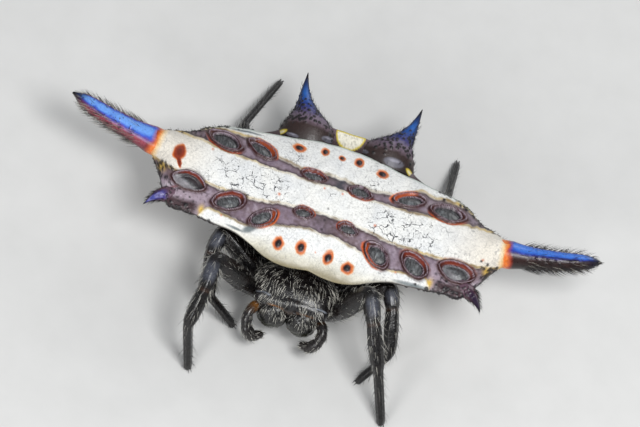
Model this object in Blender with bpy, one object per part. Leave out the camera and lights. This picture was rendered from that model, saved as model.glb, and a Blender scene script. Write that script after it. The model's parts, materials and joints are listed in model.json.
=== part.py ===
"""A spiny orb weaver, life size, standing still on the floor.

The animal faces -Y, its left side is +X and the floor is z = 0. Lengths in the
driving dimensions are millimetres. The abdomen is laid out in a frame of its
own, x across, v towards the rear along the plate and w out of the plate, which
is tilted front end up. The finished model is centred over its feet.
"""

import math

import bmesh
import bpy
import numpy as np
from mathutils import Matrix, Vector

MM = 0.001
GAP = 0.12                      # kept between one part and the next
EYE_GAP = 0.04

PLATE_HEIGHT = 3.5              # middle of the plate over the floor
PLATE_TILT = math.radians(8.0)  # front edge up
PLATE_HALF = 6.2                # middle to the foot of a median spine
SPINE_RADIUS = 0.475            # median spine at its foot
SPINE_FOOT = (0.39, -0.45)      # its axis there, as v and w

PROSOMA_X = -0.17               # the front body is turned a little to its right

# Outline of the plate: x, v and w of its front and its rear edge.
FRONT_EDGE = [(0.0, -2.52, -0.70), (1.0, -2.64, -0.68), (1.5, -2.56, -0.63), (2.0, -2.36, -0.58),
              (2.6, -2.15, -0.51), (3.5, -2.06, -0.45), (4.6, -1.92, -0.47), (5.1, -1.84, -0.50),
              (5.4, -1.48, -0.45),
              (5.63, -0.95, -0.42), (5.9, -0.45, -0.45), (6.2, -0.085, -0.45)]
REAR_EDGE = [(0.0, 2.40, -0.30), (1.0, 2.33, -0.30), (2.0, 2.12, -0.30), (3.0, 1.95, -0.30),
             (4.2, 1.69, -0.32), (4.7, 1.42, -0.33), (5.1, 1.14, -0.36), (5.6, 1.0, -0.40),
             (6.2, 0.865, -0.45)]
# Rear wall that carries the posterior spines: x, v and w of its crest.
REAR_CREST = [(0.0, 3.14, -0.42), (1.0, 3.17, -0.52), (1.9, 2.97, -0.70), (2.6, 2.42, -0.75),
              (3.4, 2.05, -0.70), (4.6, 1.55, -0.65), (5.5, 1.05, -0.60), (6.2, 0.83, -0.62)]
TOP_SHAPE = (-0.19, 0.0, -0.03)  # w of the plate a quarter, half and three quarters back
BELLY_DEEP = -2.75
BELLY_THIN = -0.93
BELLY_SPREAD = 2.5

# Sigilla of one side: x, v, half length, half width and turn in degrees.
SIGILLA = [(0.78, -0.90, 0.33, 0.25, 0), (1.99, -1.55, 0.44, 0.37, -32), (3.27, -1.40, 0.48, 0.42, -25),
           (4.70, -1.12, 0.56, 0.42, -3), (0.83, 0.70, 0.40, 0.24, 0), (2.60, 1.06, 0.50, 0.30, 15),
           (3.92, 0.98, 0.58, 0.33, 5)]
RIM_RADIUS = 0.065              # the raised rim round each
RIM_POINTS = 16
RIM_SIDES = 5

STATIONS = 46                   # sections of the abdomen from side to side
TOP_STEPS = 5                   # points along each quarter of the plate
LOW_STEPS = 3                   # points between the marks of the underside
RING = 10                       # sides of a leg

# Joints of each leg as x, y, z: hip, trochanter, knee, end of patella, end of tibia, foot.
LEGS = {
    "leg_1_left": [(0.80, -3.00, 1.12), (1.25, -3.10, 1.45), (2.20, -2.98, 3.50),
                   (2.63, -3.85, 3.10), (3.26, -4.86, 1.90), (3.87, -5.68, 0.0)],
    "leg_1_right": [(-0.95, -3.00, 1.12), (-1.50, -3.10, 1.45), (-3.00, -3.43, 3.30),
                    (-3.07, -4.57, 3.05), (-3.23, -5.47, 2.00), (-2.83, -5.90, 0.0)],
    "leg_2_left": [(0.80, -2.45, 1.10), (1.25, -2.45, 1.35), (2.79, -1.88, 2.35),
                   (3.08, -2.55, 2.10), (3.46, -3.73, 1.20), (2.75, -4.43, 0.0)],
    "leg_2_right": [(-0.95, -2.45, 1.10), (-1.50, -2.45, 1.35), (-3.07, -1.77, 2.35),
                    (-3.25, -2.56, 2.00), (-2.84, -3.70, 1.20), (-1.86, -3.86, 0.0)],
    "leg_3_left": [(0.75, -1.92, 1.08), (1.15, -1.85, 1.15), (2.30, -1.10, 1.50),
                   (2.80, -0.75, 1.32), (3.05, -0.25, 0.80), (3.22, 0.35, 0.0)],
    "leg_3_right": [(-0.90, -1.92, 1.08), (-1.30, -1.85, 1.15), (-2.45, -1.10, 1.50),
                    (-2.90, -0.75, 1.32), (-3.10, -0.25, 0.80), (-3.25, 0.35, 0.0)],
    "leg_4_left": [(0.60, -1.45, 1.05), (0.95, -1.15, 1.05), (2.85, 0.50, 1.35),
                   (3.30, 1.30, 1.30), (3.65, 2.98, 0.90), (3.62, 4.75, 0.0)],
    "leg_4_right": [(-0.75, -1.45, 1.05), (-1.10, -1.15, 1.05), (-2.90, 0.60, 1.35),
                    (-3.30, 1.50, 1.30), (-3.55, 3.23, 0.90), (-2.84, 5.66, 0.0)],
}
COXA_RADIUS = 0.22
FEMUR_RADII = (0.24, 0.36, 0.37, 0.31, 0.25)
PATELLA_RADII = (0.25, 0.27, 0.23)
TIBIA_RADII = (0.23, 0.26, 0.24, 0.20)
FOOT_RADII = (0.19, 0.19, 0.17, 0.15)
LEG_SIZE = {1: 1.0, 2: 0.95, 3: 0.75, 4: 0.9}

PALPS = {
    "palp_left": [(0.72, -3.38, 1.22), (0.98, -3.60, 1.52), (1.13, -3.92, 1.58), (1.08, -4.18, 1.30),
                  (0.86, -4.30, 0.98), (0.48, -4.22, 0.88)],
    "palp_right": [(-1.04, -3.38, 1.22), (-1.28, -3.60, 1.50), (-1.46, -4.00, 1.52), (-1.40, -4.35, 1.15),
                   (-1.14, -4.45, 0.80), (-0.76, -4.22, 0.80)],
}
PALP_RADII = (0.17, 0.18, 0.17, 0.19, 0.20, 0.12)

# Front body: y, half width, top and bottom.
PROSOMA = [(-3.74, 0.98, 2.00, 1.62), (-3.66, 1.14, 2.12, 1.42), (-3.40, 1.28, 2.27, 1.10),
           (-2.95, 1.40, 2.36, 0.90), (-2.40, 1.40, 2.20, 0.85), (-1.95, 1.15, 1.80, 0.88),
           (-1.55, 0.80, 1.42, 0.95), (-1.30, 0.45, 1.30, 1.02)]
PROSOMA_SIDES = 26
TUBERCLE = (1.12, -3.44, 1.97, 0.20)  # swelling under the eyes of one side: x, y, z and radius
EYES = {"eye_median_rear": (0.145, -3.50, 2.235, 0.08), "eye_median_front": (0.15, -3.73, 1.99, 0.085),
        "eye_lateral_rear": (1.20, -3.42, 2.13, 0.085), "eye_lateral_front": (1.19, -3.61, 2.00, 0.08)}

CHELICERA = (0.51, -3.66, 1.40)
CHELICERA_RADII = (0.54, 0.44, 0.60)

# Posterior spine, flared towards its fellow: share of its length, x of its axis, half width.
POSTERIOR_FOOT = (2.50, -0.92)
POSTERIOR_TIP = (4.76, 0.05)
POSTERIOR_FLARE = [(0.0, 1.42, 1.02), (0.12, 1.40, 0.98), (0.26, 1.38, 0.87), (0.36, 1.45, 0.70),
                   (0.45, 1.58, 0.50), (0.55, 1.73, 0.34), (0.69, 1.88, 0.19), (0.83, 1.95, 0.10),
                   (1.0, 1.99, 0.0)]
POSTERIOR_FLAT = 0.62           # its thickness as a share of its width, at the foot
ANTERIOR_FOOT = (4.72, -1.48, -0.80)
ANTERIOR_TIP = (5.87, -2.33, -0.42)
ANTERIOR_PROFILE = [(0.0, 0.31), (0.25, 0.32), (0.4, 0.28), (0.55, 0.21), (0.75, 0.11), (1.0, 0.0)]
MEDIAN_TIP = (9.3, 1.04, -0.15)
MEDIAN_PROFILE = [(0.0, 1.0), (0.12, 0.87), (0.5, 0.70), (0.78, 0.55), (0.88, 0.42), (0.93, 0.26),
                  (1.0, 0.0)]
BRISTLE_ROWS = 6                # bristles of a median spine, in rings along it
BRISTLES_ROUND = 7
BRISTLE_LENGTH = 0.50
BRISTLE_RADIUS = 0.07
BRISTLE_LEAN = math.radians(32)

HORN = (0.10, 0.05, 0.12)
PLATE_WHITE = (0.78, 0.75, 0.68)
BLACK = (0.025, 0.020, 0.018)


def clear_scene():
    for thing in list(bpy.data.objects):
        bpy.data.objects.remove(thing, do_unlink=True)


def material(name, colour, roughness):
    made = bpy.data.materials.new(name)
    made.use_nodes = True
    shader = made.node_tree.nodes["Principled BSDF"]
    shader.inputs["Base Color"].default_value = (*colour, 1.0)
    shader.inputs["Roughness"].default_value = roughness
    shader.inputs["Metallic"].default_value = 0.0
    return made


def smooth_line(marks, at):
    """Reads a smooth curve through the marks (first column the place) at each place in at."""
    marks = np.asarray(marks, float)
    place, value = marks[:, 0], marks[:, 1:]
    slope = np.gradient(value, place, axis=0)
    k = np.clip(np.searchsorted(place, at) - 1, 0, len(place) - 2)
    width = (place[k + 1] - place[k])[:, None]
    t = (at - place[k])[:, None] / width
    return (value[k] * (1 + 2 * t) * (1 - t) ** 2 + value[k + 1] * t * t * (3 - 2 * t)
            + slope[k] * width * t * (1 - t) ** 2 - slope[k + 1] * width * t * t * (1 - t))


def place_on_body(points):
    """Turns x, v, w of the abdomen's own frame into x, y, z over the floor."""
    points = np.asarray(points, float)
    c, s = math.cos(PLATE_TILT), math.sin(PLATE_TILT)
    y = points[..., 1] * c + points[..., 2] * s
    z = PLATE_HEIGHT - points[..., 1] * s + points[..., 2] * c
    return np.stack([points[..., 0], y, z], axis=-1)


def mesh_object(name, points, faces, finish, group):
    """One closed mesh object, its points given in millimetres."""
    mesh = bpy.data.meshes.new(name)
    mesh.from_pydata([tuple(p) for p in np.asarray(points, float) * MM], [], faces)
    mesh.validate()
    made = bpy.data.objects.new(name, mesh)
    group.objects.link(made)
    bm = bmesh.new()
    bm.from_mesh(mesh)
    bmesh.ops.remove_doubles(bm, verts=bm.verts, dist=0.002 * MM)
    bmesh.ops.recalc_face_normals(bm, faces=bm.faces)
    bm.to_mesh(mesh)
    bm.free()
    if finish:
        mesh.materials.append(finish)
    mesh.shade_smooth()
    mesh.set_sharp_from_angle(angle=math.radians(50))
    return made


def loft_faces(rings, sides):
    """Quads between rings that follow one another, and a flat cap on each end."""
    faces = [tuple(range(sides))[::-1], tuple((rings - 1) * sides + k for k in range(sides))]
    for i in range(rings - 1):
        for k in range(sides):
            j = (k + 1) % sides
            faces.append((i * sides + k, i * sides + j, (i + 1) * sides + j, (i + 1) * sides + k))
    return faces


def frame_along(path):
    """Unit tangents of a path, and two unit vectors square to each, carried without twist."""
    path = np.asarray(path, float)
    legs = np.diff(path, axis=0)
    legs /= np.linalg.norm(legs, axis=1)[:, None]
    tangent = np.vstack([legs[:1], legs[:-1] + legs[1:], legs[-1:]])
    tangent /= np.linalg.norm(tangent, axis=1)[:, None]
    across = np.cross(tangent[0], (0.0, 0.0, 1.0))
    if np.linalg.norm(across) < 0.1:
        across = np.cross(tangent[0], (0.0, 1.0, 0.0))
    sides, ups = [], []
    for t in tangent:
        across = across - t * np.dot(across, t)
        across = across / np.linalg.norm(across)
        sides.append(across)
        ups.append(np.cross(across, t))
    return tangent, np.array(sides), np.array(ups)


def tube_rings(path, radii, sides=RING, flat_foot=False):
    """Rings of a tube whose sections stand square to the path, the last one level on a foot."""
    path = np.asarray(path, float)
    radii = np.asarray(radii, float)
    tangent, across, up = frame_along(path)
    if flat_foot:
        tangent[-1] = (0.0, 0.0, -1.0)
        level = across[-1] * (1.0, 1.0, 0.0)
        across[-1] = level / np.linalg.norm(level)
        up[-1] = np.cross(across[-1], tangent[-1])
    angle = 2 * np.pi * np.arange(sides) / sides
    ring = (across[:, None] * np.cos(angle)[None, :, None] + up[:, None] * np.sin(angle)[None, :, None])
    return path[:, None] + ring * radii[:, None, None]


def between(start, end, steps):
    """Points from start to end, both ends in."""
    start, end = np.asarray(start, float), np.asarray(end, float)
    return [start + (end - start) * k / steps for k in range(steps + 1)]


def abdomen_surface(grow=0.0):
    """Sections across the abdomen from its right end to its left, each a closed smooth loop."""
    edge = PLATE_HALF - 0.001
    even = np.linspace(-1.0, 1.0, STATIONS)
    x = edge * (0.82 * even + 0.18 * even ** 3)
    near = np.abs(x)
    front, rear, crest = (smooth_line(marks, near) for marks in (FRONT_EDGE, REAR_EDGE, REAR_CREST))
    bell = np.exp(-(near / BELLY_SPREAD) ** 2)
    depth = BELLY_THIN + (BELLY_DEEP - BELLY_THIN) * bell
    close = np.clip((near - 4.6) / (PLATE_HALF - 4.6), 0, 1) ** 2
    top_low = np.array(TOP_SHAPE)[None, :] * (1 - close)[:, None]
    top_low += close[:, None] * np.array([-0.09, 0.02, -0.09])[None, :]
    span = rear[:, 0] - front[:, 0]
    marks = []
    marks.append(front)
    for k, part in enumerate((0.25, 0.5, 0.75)):
        marks.append(np.stack([front[:, 0] + span * part, top_low[:, k]], axis=1))
    marks.append(rear)
    lip = (1 - close)[:, None]
    marks.append(rear + lip * np.array([0.10, -0.24]) + (1 - lip) * np.array([-0.01, -0.10]))
    marks.append(crest)
    low_rear = np.stack([rear[:, 0] * (0.60 + 0.15 * bell), (crest[:, 1] + depth) / 2 - 0.25 * bell], axis=1)
    low_rear[:, 0] = low_rear[:, 0] * (1 - close) + close * 0.70
    marks.append(low_rear)
    marks.append(np.stack([(front[:, 0] + rear[:, 0]) / 2 * (1 - bell) + 0.75 * bell, depth], axis=1))
    low_front = np.stack([front[:, 0] * (0.62 - 0.18 * bell),
                          (front[:, 1] + depth) / 2 - 0.10 + 0.05 * bell], axis=1)
    low_front[:, 0] = low_front[:, 0] * (1 - close) + close * 0.07
    marks.append(low_front)
    marks.append(front + lip * np.array([0.16, -0.30]) + (1 - lip) * np.array([0.02, -0.14]))
    marks = np.array(marks)
    count = len(marks)
    rows = []
    for j in range(count):
        a, b, c, d = marks[j - 1], marks[j], marks[(j + 1) % count], marks[(j + 2) % count]
        steps = TOP_STEPS if j < 4 else LOW_STEPS
        if j in (4, 5):
            steps = 2
        for k in range(steps):
            t = k / steps
            rows.append(0.5 * (2 * b + (c - a) * t + (2 * a - 5 * b + 4 * c - d) * t * t
                               + (3 * b - 3 * c + d - a) * t ** 3))
    loop = np.array(rows).transpose(1, 0, 2)
    points = np.concatenate([np.broadcast_to(x[:, None, None], loop.shape[:2] + (1,)), loop], axis=2).copy()
    if grow:
        points += surface_normals(points) * grow
        points[0, :, 0] -= grow
        points[-1, :, 0] += grow
    return points


def surface_normals(points):
    """Outward unit normals of a grid of sections that closes on itself the second way."""
    along = np.gradient(points, axis=0)
    round_it = (np.roll(points, -1, axis=1) - np.roll(points, 1, axis=1)) / 2
    normal = np.cross(round_it, along)
    normal /= np.linalg.norm(normal, axis=2)[..., None] + 1e-12
    outward = points - points.mean(axis=1)[:, None]
    if (normal * outward).sum() < 0:
        normal = -normal
    return normal


def plate_height(x, v):
    """Height w of the plate at each x and v, read from its sections."""
    points = abdomen_surface()
    rows = np.searchsorted(points[:, 0, 0], x).clip(1, len(points) - 1)
    found = []
    for row, px, pv in zip(rows, x, v):
        pair = []
        for section in (points[row - 1], points[row]):
            top = section[:4 * TOP_STEPS + 1]
            pair.append(np.interp(pv, top[:, 1], top[:, 2]))
        t = (px - points[row - 1, 0, 0]) / (points[row, 0, 0] - points[row - 1, 0, 0])
        found.append(pair[0] * (1 - t) + pair[1] * t)
    return np.array(found)


def make_sigillum_rim(name, side, place, group):
    """A raised rim that follows the plate round one sigillum: a closed tube on an ellipse."""
    cx, cv, long, wide, turn = place
    turn = math.radians(turn)
    angle = 2 * np.pi * np.arange(RIM_POINTS) / RIM_POINTS
    dx = long * np.cos(angle) * math.cos(turn) - wide * np.sin(angle) * math.sin(turn)
    dv = long * np.cos(angle) * math.sin(turn) + wide * np.sin(angle) * math.cos(turn)
    x, v = (cx + dx) * side, cv + dv
    centre = np.stack([x, v, plate_height(x, v)], axis=1)
    out = np.stack([dx * side, dv, 0 * dx], axis=1)
    out /= np.linalg.norm(out, axis=1)[:, None]
    up = np.array([0.0, 0.0, 1.0])
    phi = 2 * np.pi * (np.arange(RIM_SIDES) + 0.5) / RIM_SIDES
    rings = centre[:, None] + RIM_RADIUS * (out[:, None] * np.cos(phi)[None, :, None] * 1.25
                                            + up * np.sin(phi)[None, :, None])
    faces = []
    for i in range(RIM_POINTS):
        for k in range(RIM_SIDES):
            j, m = (k + 1) % RIM_SIDES, (i + 1) % RIM_POINTS
            faces.append((i * RIM_SIDES + k, i * RIM_SIDES + j, m * RIM_SIDES + j, m * RIM_SIDES + k))
    return mesh_object(name, place_on_body(rings).reshape(-1, 3), faces, None, group)


def make_abdomen(name, grow, finish, group):
    points = abdomen_surface(grow)
    sections, around = points.shape[:2]
    flat = place_on_body(points).reshape(-1, 3)
    return mesh_object(name, flat, loft_faces(sections, around), finish, group)


def prosoma_surface(grow=0.0):
    """Sections of the front body from face to rear: broad shield above, narrow sternum below."""
    steps = 22
    marks = np.array(PROSOMA)
    y = np.linspace(marks[0, 0], marks[-1, 0], steps)
    size = smooth_line(PROSOMA, y)
    angle = 2 * np.pi * np.arange(PROSOMA_SIDES) / PROSOMA_SIDES
    c, s = np.cos(angle), np.sin(angle)
    wide = np.sign(c) * np.abs(c) ** 0.75
    tall = np.sign(s) * np.abs(s) ** 0.8
    waist = np.where(s < 0, 1.0 - 0.30 * np.abs(s) ** 1.2, 1.0)
    x = PROSOMA_X + (size[:, 0] + grow)[:, None] * (wide * waist)[None, :]
    brow = size[:, 2] + 0.55 * (size[:, 1] - size[:, 2])
    up = (size[:, 1] + grow - brow)[:, None] * np.maximum(tall, 0)[None, :]
    down = (brow - size[:, 2] + grow)[:, None] * np.minimum(tall, 0)[None, :]
    z = brow[:, None] + up + down
    points = np.stack([x, np.broadcast_to(y[:, None], x.shape), z], axis=2).copy()
    if grow:
        points[0, :, 1] -= grow
        points[-1, :, 1] += grow
    return points


def make_prosoma(name, grow, finish, group):
    points = prosoma_surface(grow)
    sections, around = points.shape[:2]
    return mesh_object(name, points.reshape(-1, 3), loft_faces(sections, around), finish, group)


def evaluated_mesh(thing):
    bpy.context.view_layer.update()
    graph = bpy.context.evaluated_depsgraph_get()
    return bpy.data.meshes.new_from_object(thing.evaluated_get(graph))


def keep_largest(thing):
    """Drops every scrap but the largest closed surface of a mesh."""
    bm = bmesh.new()
    bm.from_mesh(thing.data)
    bmesh.ops.remove_doubles(bm, verts=bm.verts, dist=0.003 * MM)
    bmesh.ops.dissolve_degenerate(bm, edges=bm.edges, dist=0.003 * MM)
    bmesh.ops.triangulate(bm, faces=bm.faces)
    left = set(bm.faces)
    shells = []
    while left:
        shell, stack = set(), [left.pop()]
        while stack:
            face = stack.pop()
            shell.add(face)
            for edge in face.edges:
                for other in edge.link_faces:
                    if other in left:
                        left.remove(other)
                        stack.append(other)
        shells.append(shell)
    shells.sort(key=lambda shell: sum(face.calc_area() for face in shell))
    loose = [face for shell in shells[:-1] for face in shell]
    if loose:
        bmesh.ops.delete(bm, geom=loose, context="FACES")
    bm.to_mesh(thing.data)
    bm.free()


def combine(thing, others, how):
    """Joins or cuts a mesh with a collection of others by one Boolean, and keeps its largest body."""
    tools = bpy.data.collections.new("tools")
    for other in others:
        tools.objects.link(other)
    step = thing.modifiers.new(how.title(), "BOOLEAN")
    step.operation = how
    step.solver = "EXACT"
    step.operand_type = "COLLECTION"
    step.collection = tools
    mesh = evaluated_mesh(thing)
    bpy.data.collections.remove(tools)
    thing.modifiers.clear()
    mesh.name = thing.name
    thing.data = mesh
    keep_largest(thing)
    mesh.shade_smooth()
    mesh.set_sharp_from_angle(angle=math.radians(50))
    return thing


def horn_rings(foot, tip, profile, sides):
    """Rings of a straight horn from foot to tip, its profile as share of length and radius."""
    foot, tip = np.asarray(foot, float), np.asarray(tip, float)
    share = np.array([p[0] for p in profile])
    radii = np.array([max(p[1], 0.02) for p in profile])
    path = foot + (tip - foot) * share[:, None]
    return tube_rings(path, radii, sides)


def finer(profile, rows):
    """The same profile read at more places along the horn."""
    at = np.linspace(0.0, 1.0, rows)
    radii = smooth_line(profile, at)[:, 0]
    return [(a, max(r, 0.0)) for a, r in zip(at, radii)]


def mirrored(place, side):
    return (place[0] * side, place[1], place[2])


def make_posterior_spine(name, side, finish, group):
    """Oval rings along a straight line to the rear, wide at the foot and drawn out to a point."""
    share = np.linspace(0.0, 1.0, 13)
    flare = smooth_line(POSTERIOR_FLARE, share)
    wide = np.maximum(flare[:, 1], 0.02)
    tall = wide * (POSTERIOR_FLAT + (1 - POSTERIOR_FLAT) * np.minimum(share * 1.6, 1.0))
    foot, tip = np.array(POSTERIOR_FOOT), np.array(POSTERIOR_TIP)
    axis = foot + (tip - foot) * share[:, None]
    along = (tip - foot) / np.linalg.norm(tip - foot)
    angle = 2 * np.pi * np.arange(18) / 18
    x = side * (flare[:, 0][:, None] + wide[:, None] * np.cos(angle))
    rise = tall[:, None] * np.sin(angle)
    v = axis[:, 0][:, None] - along[1] * rise
    w = axis[:, 1][:, None] + along[0] * rise
    rings = place_on_body(np.stack([x, v, w], axis=2))
    return mesh_object(name, rings.reshape(-1, 3), loft_faces(*rings.shape[:2]), finish, group)


def make_anterior_spine(name, side, finish, group):
    foot, tip = mirrored(ANTERIOR_FOOT, side), mirrored(ANTERIOR_TIP, side)
    rings = place_on_body(horn_rings(foot, tip, finer(ANTERIOR_PROFILE, 8), sides=12))
    return mesh_object(name, rings.reshape(-1, 3), loft_faces(*rings.shape[:2]), finish, group)


def make_median_spine(name, side, finish, group, scraps):
    """A blunt spine with a short point, its foot a flat disc beside the plate, and its bristles."""
    profile = finer(MEDIAN_PROFILE, 15)
    foot = np.array([(PLATE_HALF + GAP) * side, *SPINE_FOOT])
    tip = np.array(mirrored(MEDIAN_TIP, side))
    share = np.array([p[0] for p in profile])
    radii = np.array([max(p[1] * SPINE_RADIUS, 0.02) for p in profile])
    path = foot + (tip - foot) * share[:, None]
    path[:, 1] -= 0.10 * np.sin(np.pi * share)
    rings = tube_rings(path, radii, 16)
    rings[0, :, 0] = foot[0]
    rings = place_on_body(rings)
    made = mesh_object(name, rings.reshape(-1, 3), loft_faces(*rings.shape[:2]), finish, group)
    centres = place_on_body(path)
    along = (centres[-1] - centres[0]) / np.linalg.norm(centres[-1] - centres[0])
    across = np.cross(along, (0.0, 0.0, 1.0))
    across /= np.linalg.norm(across)
    up = np.cross(across, along)
    bristles = []
    for row in range(BRISTLE_ROWS):
        at = 0.14 + 0.70 * row / (BRISTLE_ROWS - 1)
        centre = np.array([np.interp(at, share, centres[:, k]) for k in range(3)])
        radius = np.interp(at, share, radii)
        for k in range(BRISTLES_ROUND):
            angle = 2 * np.pi * (k + 0.5 * (row % 2)) / BRISTLES_ROUND + 0.13 * math.sin(7.0 * row + 3.0 * k)
            out = across * math.cos(angle) + up * math.sin(angle)
            lean = along * math.cos(BRISTLE_LEAN) + out * math.sin(BRISTLE_LEAN)
            root = centre + out * (radius - 0.12)
            length = BRISTLE_LENGTH * (0.9 + 0.18 * math.sin(5.0 * k + row))
            hair = tube_rings([root, root + lean * length * 0.6, root + lean * length + along * 0.03],
                              (BRISTLE_RADIUS, BRISTLE_RADIUS * 0.75, 0.015), 4)
            bristles.append(mesh_object(f"{name}_bristle_{row}_{k}", hair.reshape(-1, 3),
                                        loft_faces(*hair.shape[:2]), None, scraps))
    return combine(made, bristles, "UNION")


def leg_lengths(name):
    """Path and radii of a whole leg, and where its two cuts come."""
    hip, trochanter, knee, patella, tibia, foot = (np.array(p, float) for p in LEGS[name])
    size = LEG_SIZE[int(name.split("_")[1])]
    path = [hip, *between(trochanter, knee, 4)]
    radii = [COXA_RADIUS / size, *FEMUR_RADII]
    first_cut = len(path) - 1
    path += between(knee, patella, 2)[1:]
    radii += PATELLA_RADII[1:]
    path += between(patella, tibia, 3)[1:]
    radii += TIBIA_RADII[1:]
    second_cut = len(path) - 1
    ankle = foot + np.array([0.0, 0.0, 0.16])
    path += between(tibia, ankle, 3)[1:] + [foot]
    radii += [*FOOT_RADII[1:], 0.11]
    return np.array(path), np.array(radii) * size, first_cut, second_cut


def make_leg(name, finish, group):
    """Three lengths of one leg, parted by thin cuts across the knee and the end of the tibia."""
    path, radii, first_cut, second_cut = leg_lengths(name)
    rings = tube_rings(path, radii, flat_foot=True)
    tangent = frame_along(path)[0]
    made = []
    stretches = (("femur", 0, first_cut), ("tibia", first_cut, second_cut),
                 ("tarsus", second_cut, len(path) - 1))
    for part, start, end in stretches:
        piece = rings[start:end + 1].copy()
        if start:
            piece[0] += tangent[start] * GAP / 2
        if end < len(path) - 1:
            piece[-1] -= tangent[end] * GAP / 2
        made.append(mesh_object(f"{name}_{part}", piece.reshape(-1, 3), loft_faces(*piece.shape[:2]),
                                finish, group))
    return made


def make_palp(name, finish, group):
    rings = tube_rings(PALPS[name], PALP_RADII, 10)
    return mesh_object(name, rings.reshape(-1, 3), loft_faces(*rings.shape[:2]), finish, group)


def ball(name, centre, radii, group, finish=None, segments=16, rows=10, turn=0.0):
    mesh = bpy.data.meshes.new(name)
    bm = bmesh.new()
    bmesh.ops.create_uvsphere(bm, u_segments=segments, v_segments=rows, radius=1.0)
    size = Matrix.Diagonal((*(r * MM for r in radii), 1.0))
    put = Matrix.Translation(Vector(centre) * MM) @ Matrix.Rotation(turn, 4, "X") @ size
    bmesh.ops.transform(bm, matrix=put, verts=bm.verts)
    bm.to_mesh(mesh)
    bm.free()
    if finish:
        mesh.materials.append(finish)
    mesh.shade_smooth()
    made = bpy.data.objects.new(name, mesh)
    group.objects.link(made)
    return made


def make_chelicera(name, side, finish, group, scraps):
    centre = (PROSOMA_X + CHELICERA[0] * side, CHELICERA[1], CHELICERA[2])
    made = ball(name, centre, CHELICERA_RADII, group, finish, 18, 12, math.radians(-14))
    start = np.array([centre[0] - 0.05 * side, centre[1] + 0.12, centre[2] - 0.55])
    end = start + np.array([-0.18 * side, 0.28, -0.26])
    rings = tube_rings(between(start, end, 2), (0.16, 0.12, 0.05), 8)
    fang = mesh_object(name + "_fang", rings.reshape(-1, 3), loft_faces(*rings.shape[:2]), None, scraps)
    return combine(made, [fang], "UNION")


def make_pedicel(name, finish, group):
    rings = tube_rings(between((-0.08, -1.62, 1.22), (0.0, -0.75, 1.85), 3), (0.26, 0.22, 0.22, 0.26), 12)
    return mesh_object(name, rings.reshape(-1, 3), loft_faces(*rings.shape[:2]), finish, group)


def make_spinnerets(name, finish, group, scraps):
    """A low ring on the belly with three pairs of short cones."""
    root = place_on_body([0.0, 0.85, BELLY_DEEP + 0.25])
    collar = tube_rings([root, root - (0, 0, 0.42)], (0.52, 0.44), 16)
    made = mesh_object(name, collar.reshape(-1, 3), loft_faces(*collar.shape[:2]), finish, group)
    cones = []
    for k in range(6):
        angle = math.radians(30 + 60 * k)
        out = np.array([math.cos(angle), math.sin(angle), 0.0])
        start = root + out * 0.22 + (0, 0, -0.25)
        rings = tube_rings([start, start + out * 0.02 + (0, 0, -0.42)], (0.13, 0.06), 8)
        cones.append(mesh_object(f"{name}_cone_{k}", rings.reshape(-1, 3), loft_faces(*rings.shape[:2]),
                                 None, scraps))
    return combine(made, cones, "UNION")


def stand_model(parts):
    """Moves every part so that the origin lies under the middle of the model."""
    bpy.context.view_layer.update()
    corners = [part.matrix_world @ Vector(corner) for part in parts for corner in part.bound_box]
    low = [min(c[k] for c in corners) for k in range(3)]
    high = [max(c[k] for c in corners) for k in range(3)]
    shift = Matrix.Translation((-(low[0] + high[0]) / 2, -(low[1] + high[1]) / 2, -low[2]))
    for part in parts:
        part.data.transform(shift)


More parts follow.
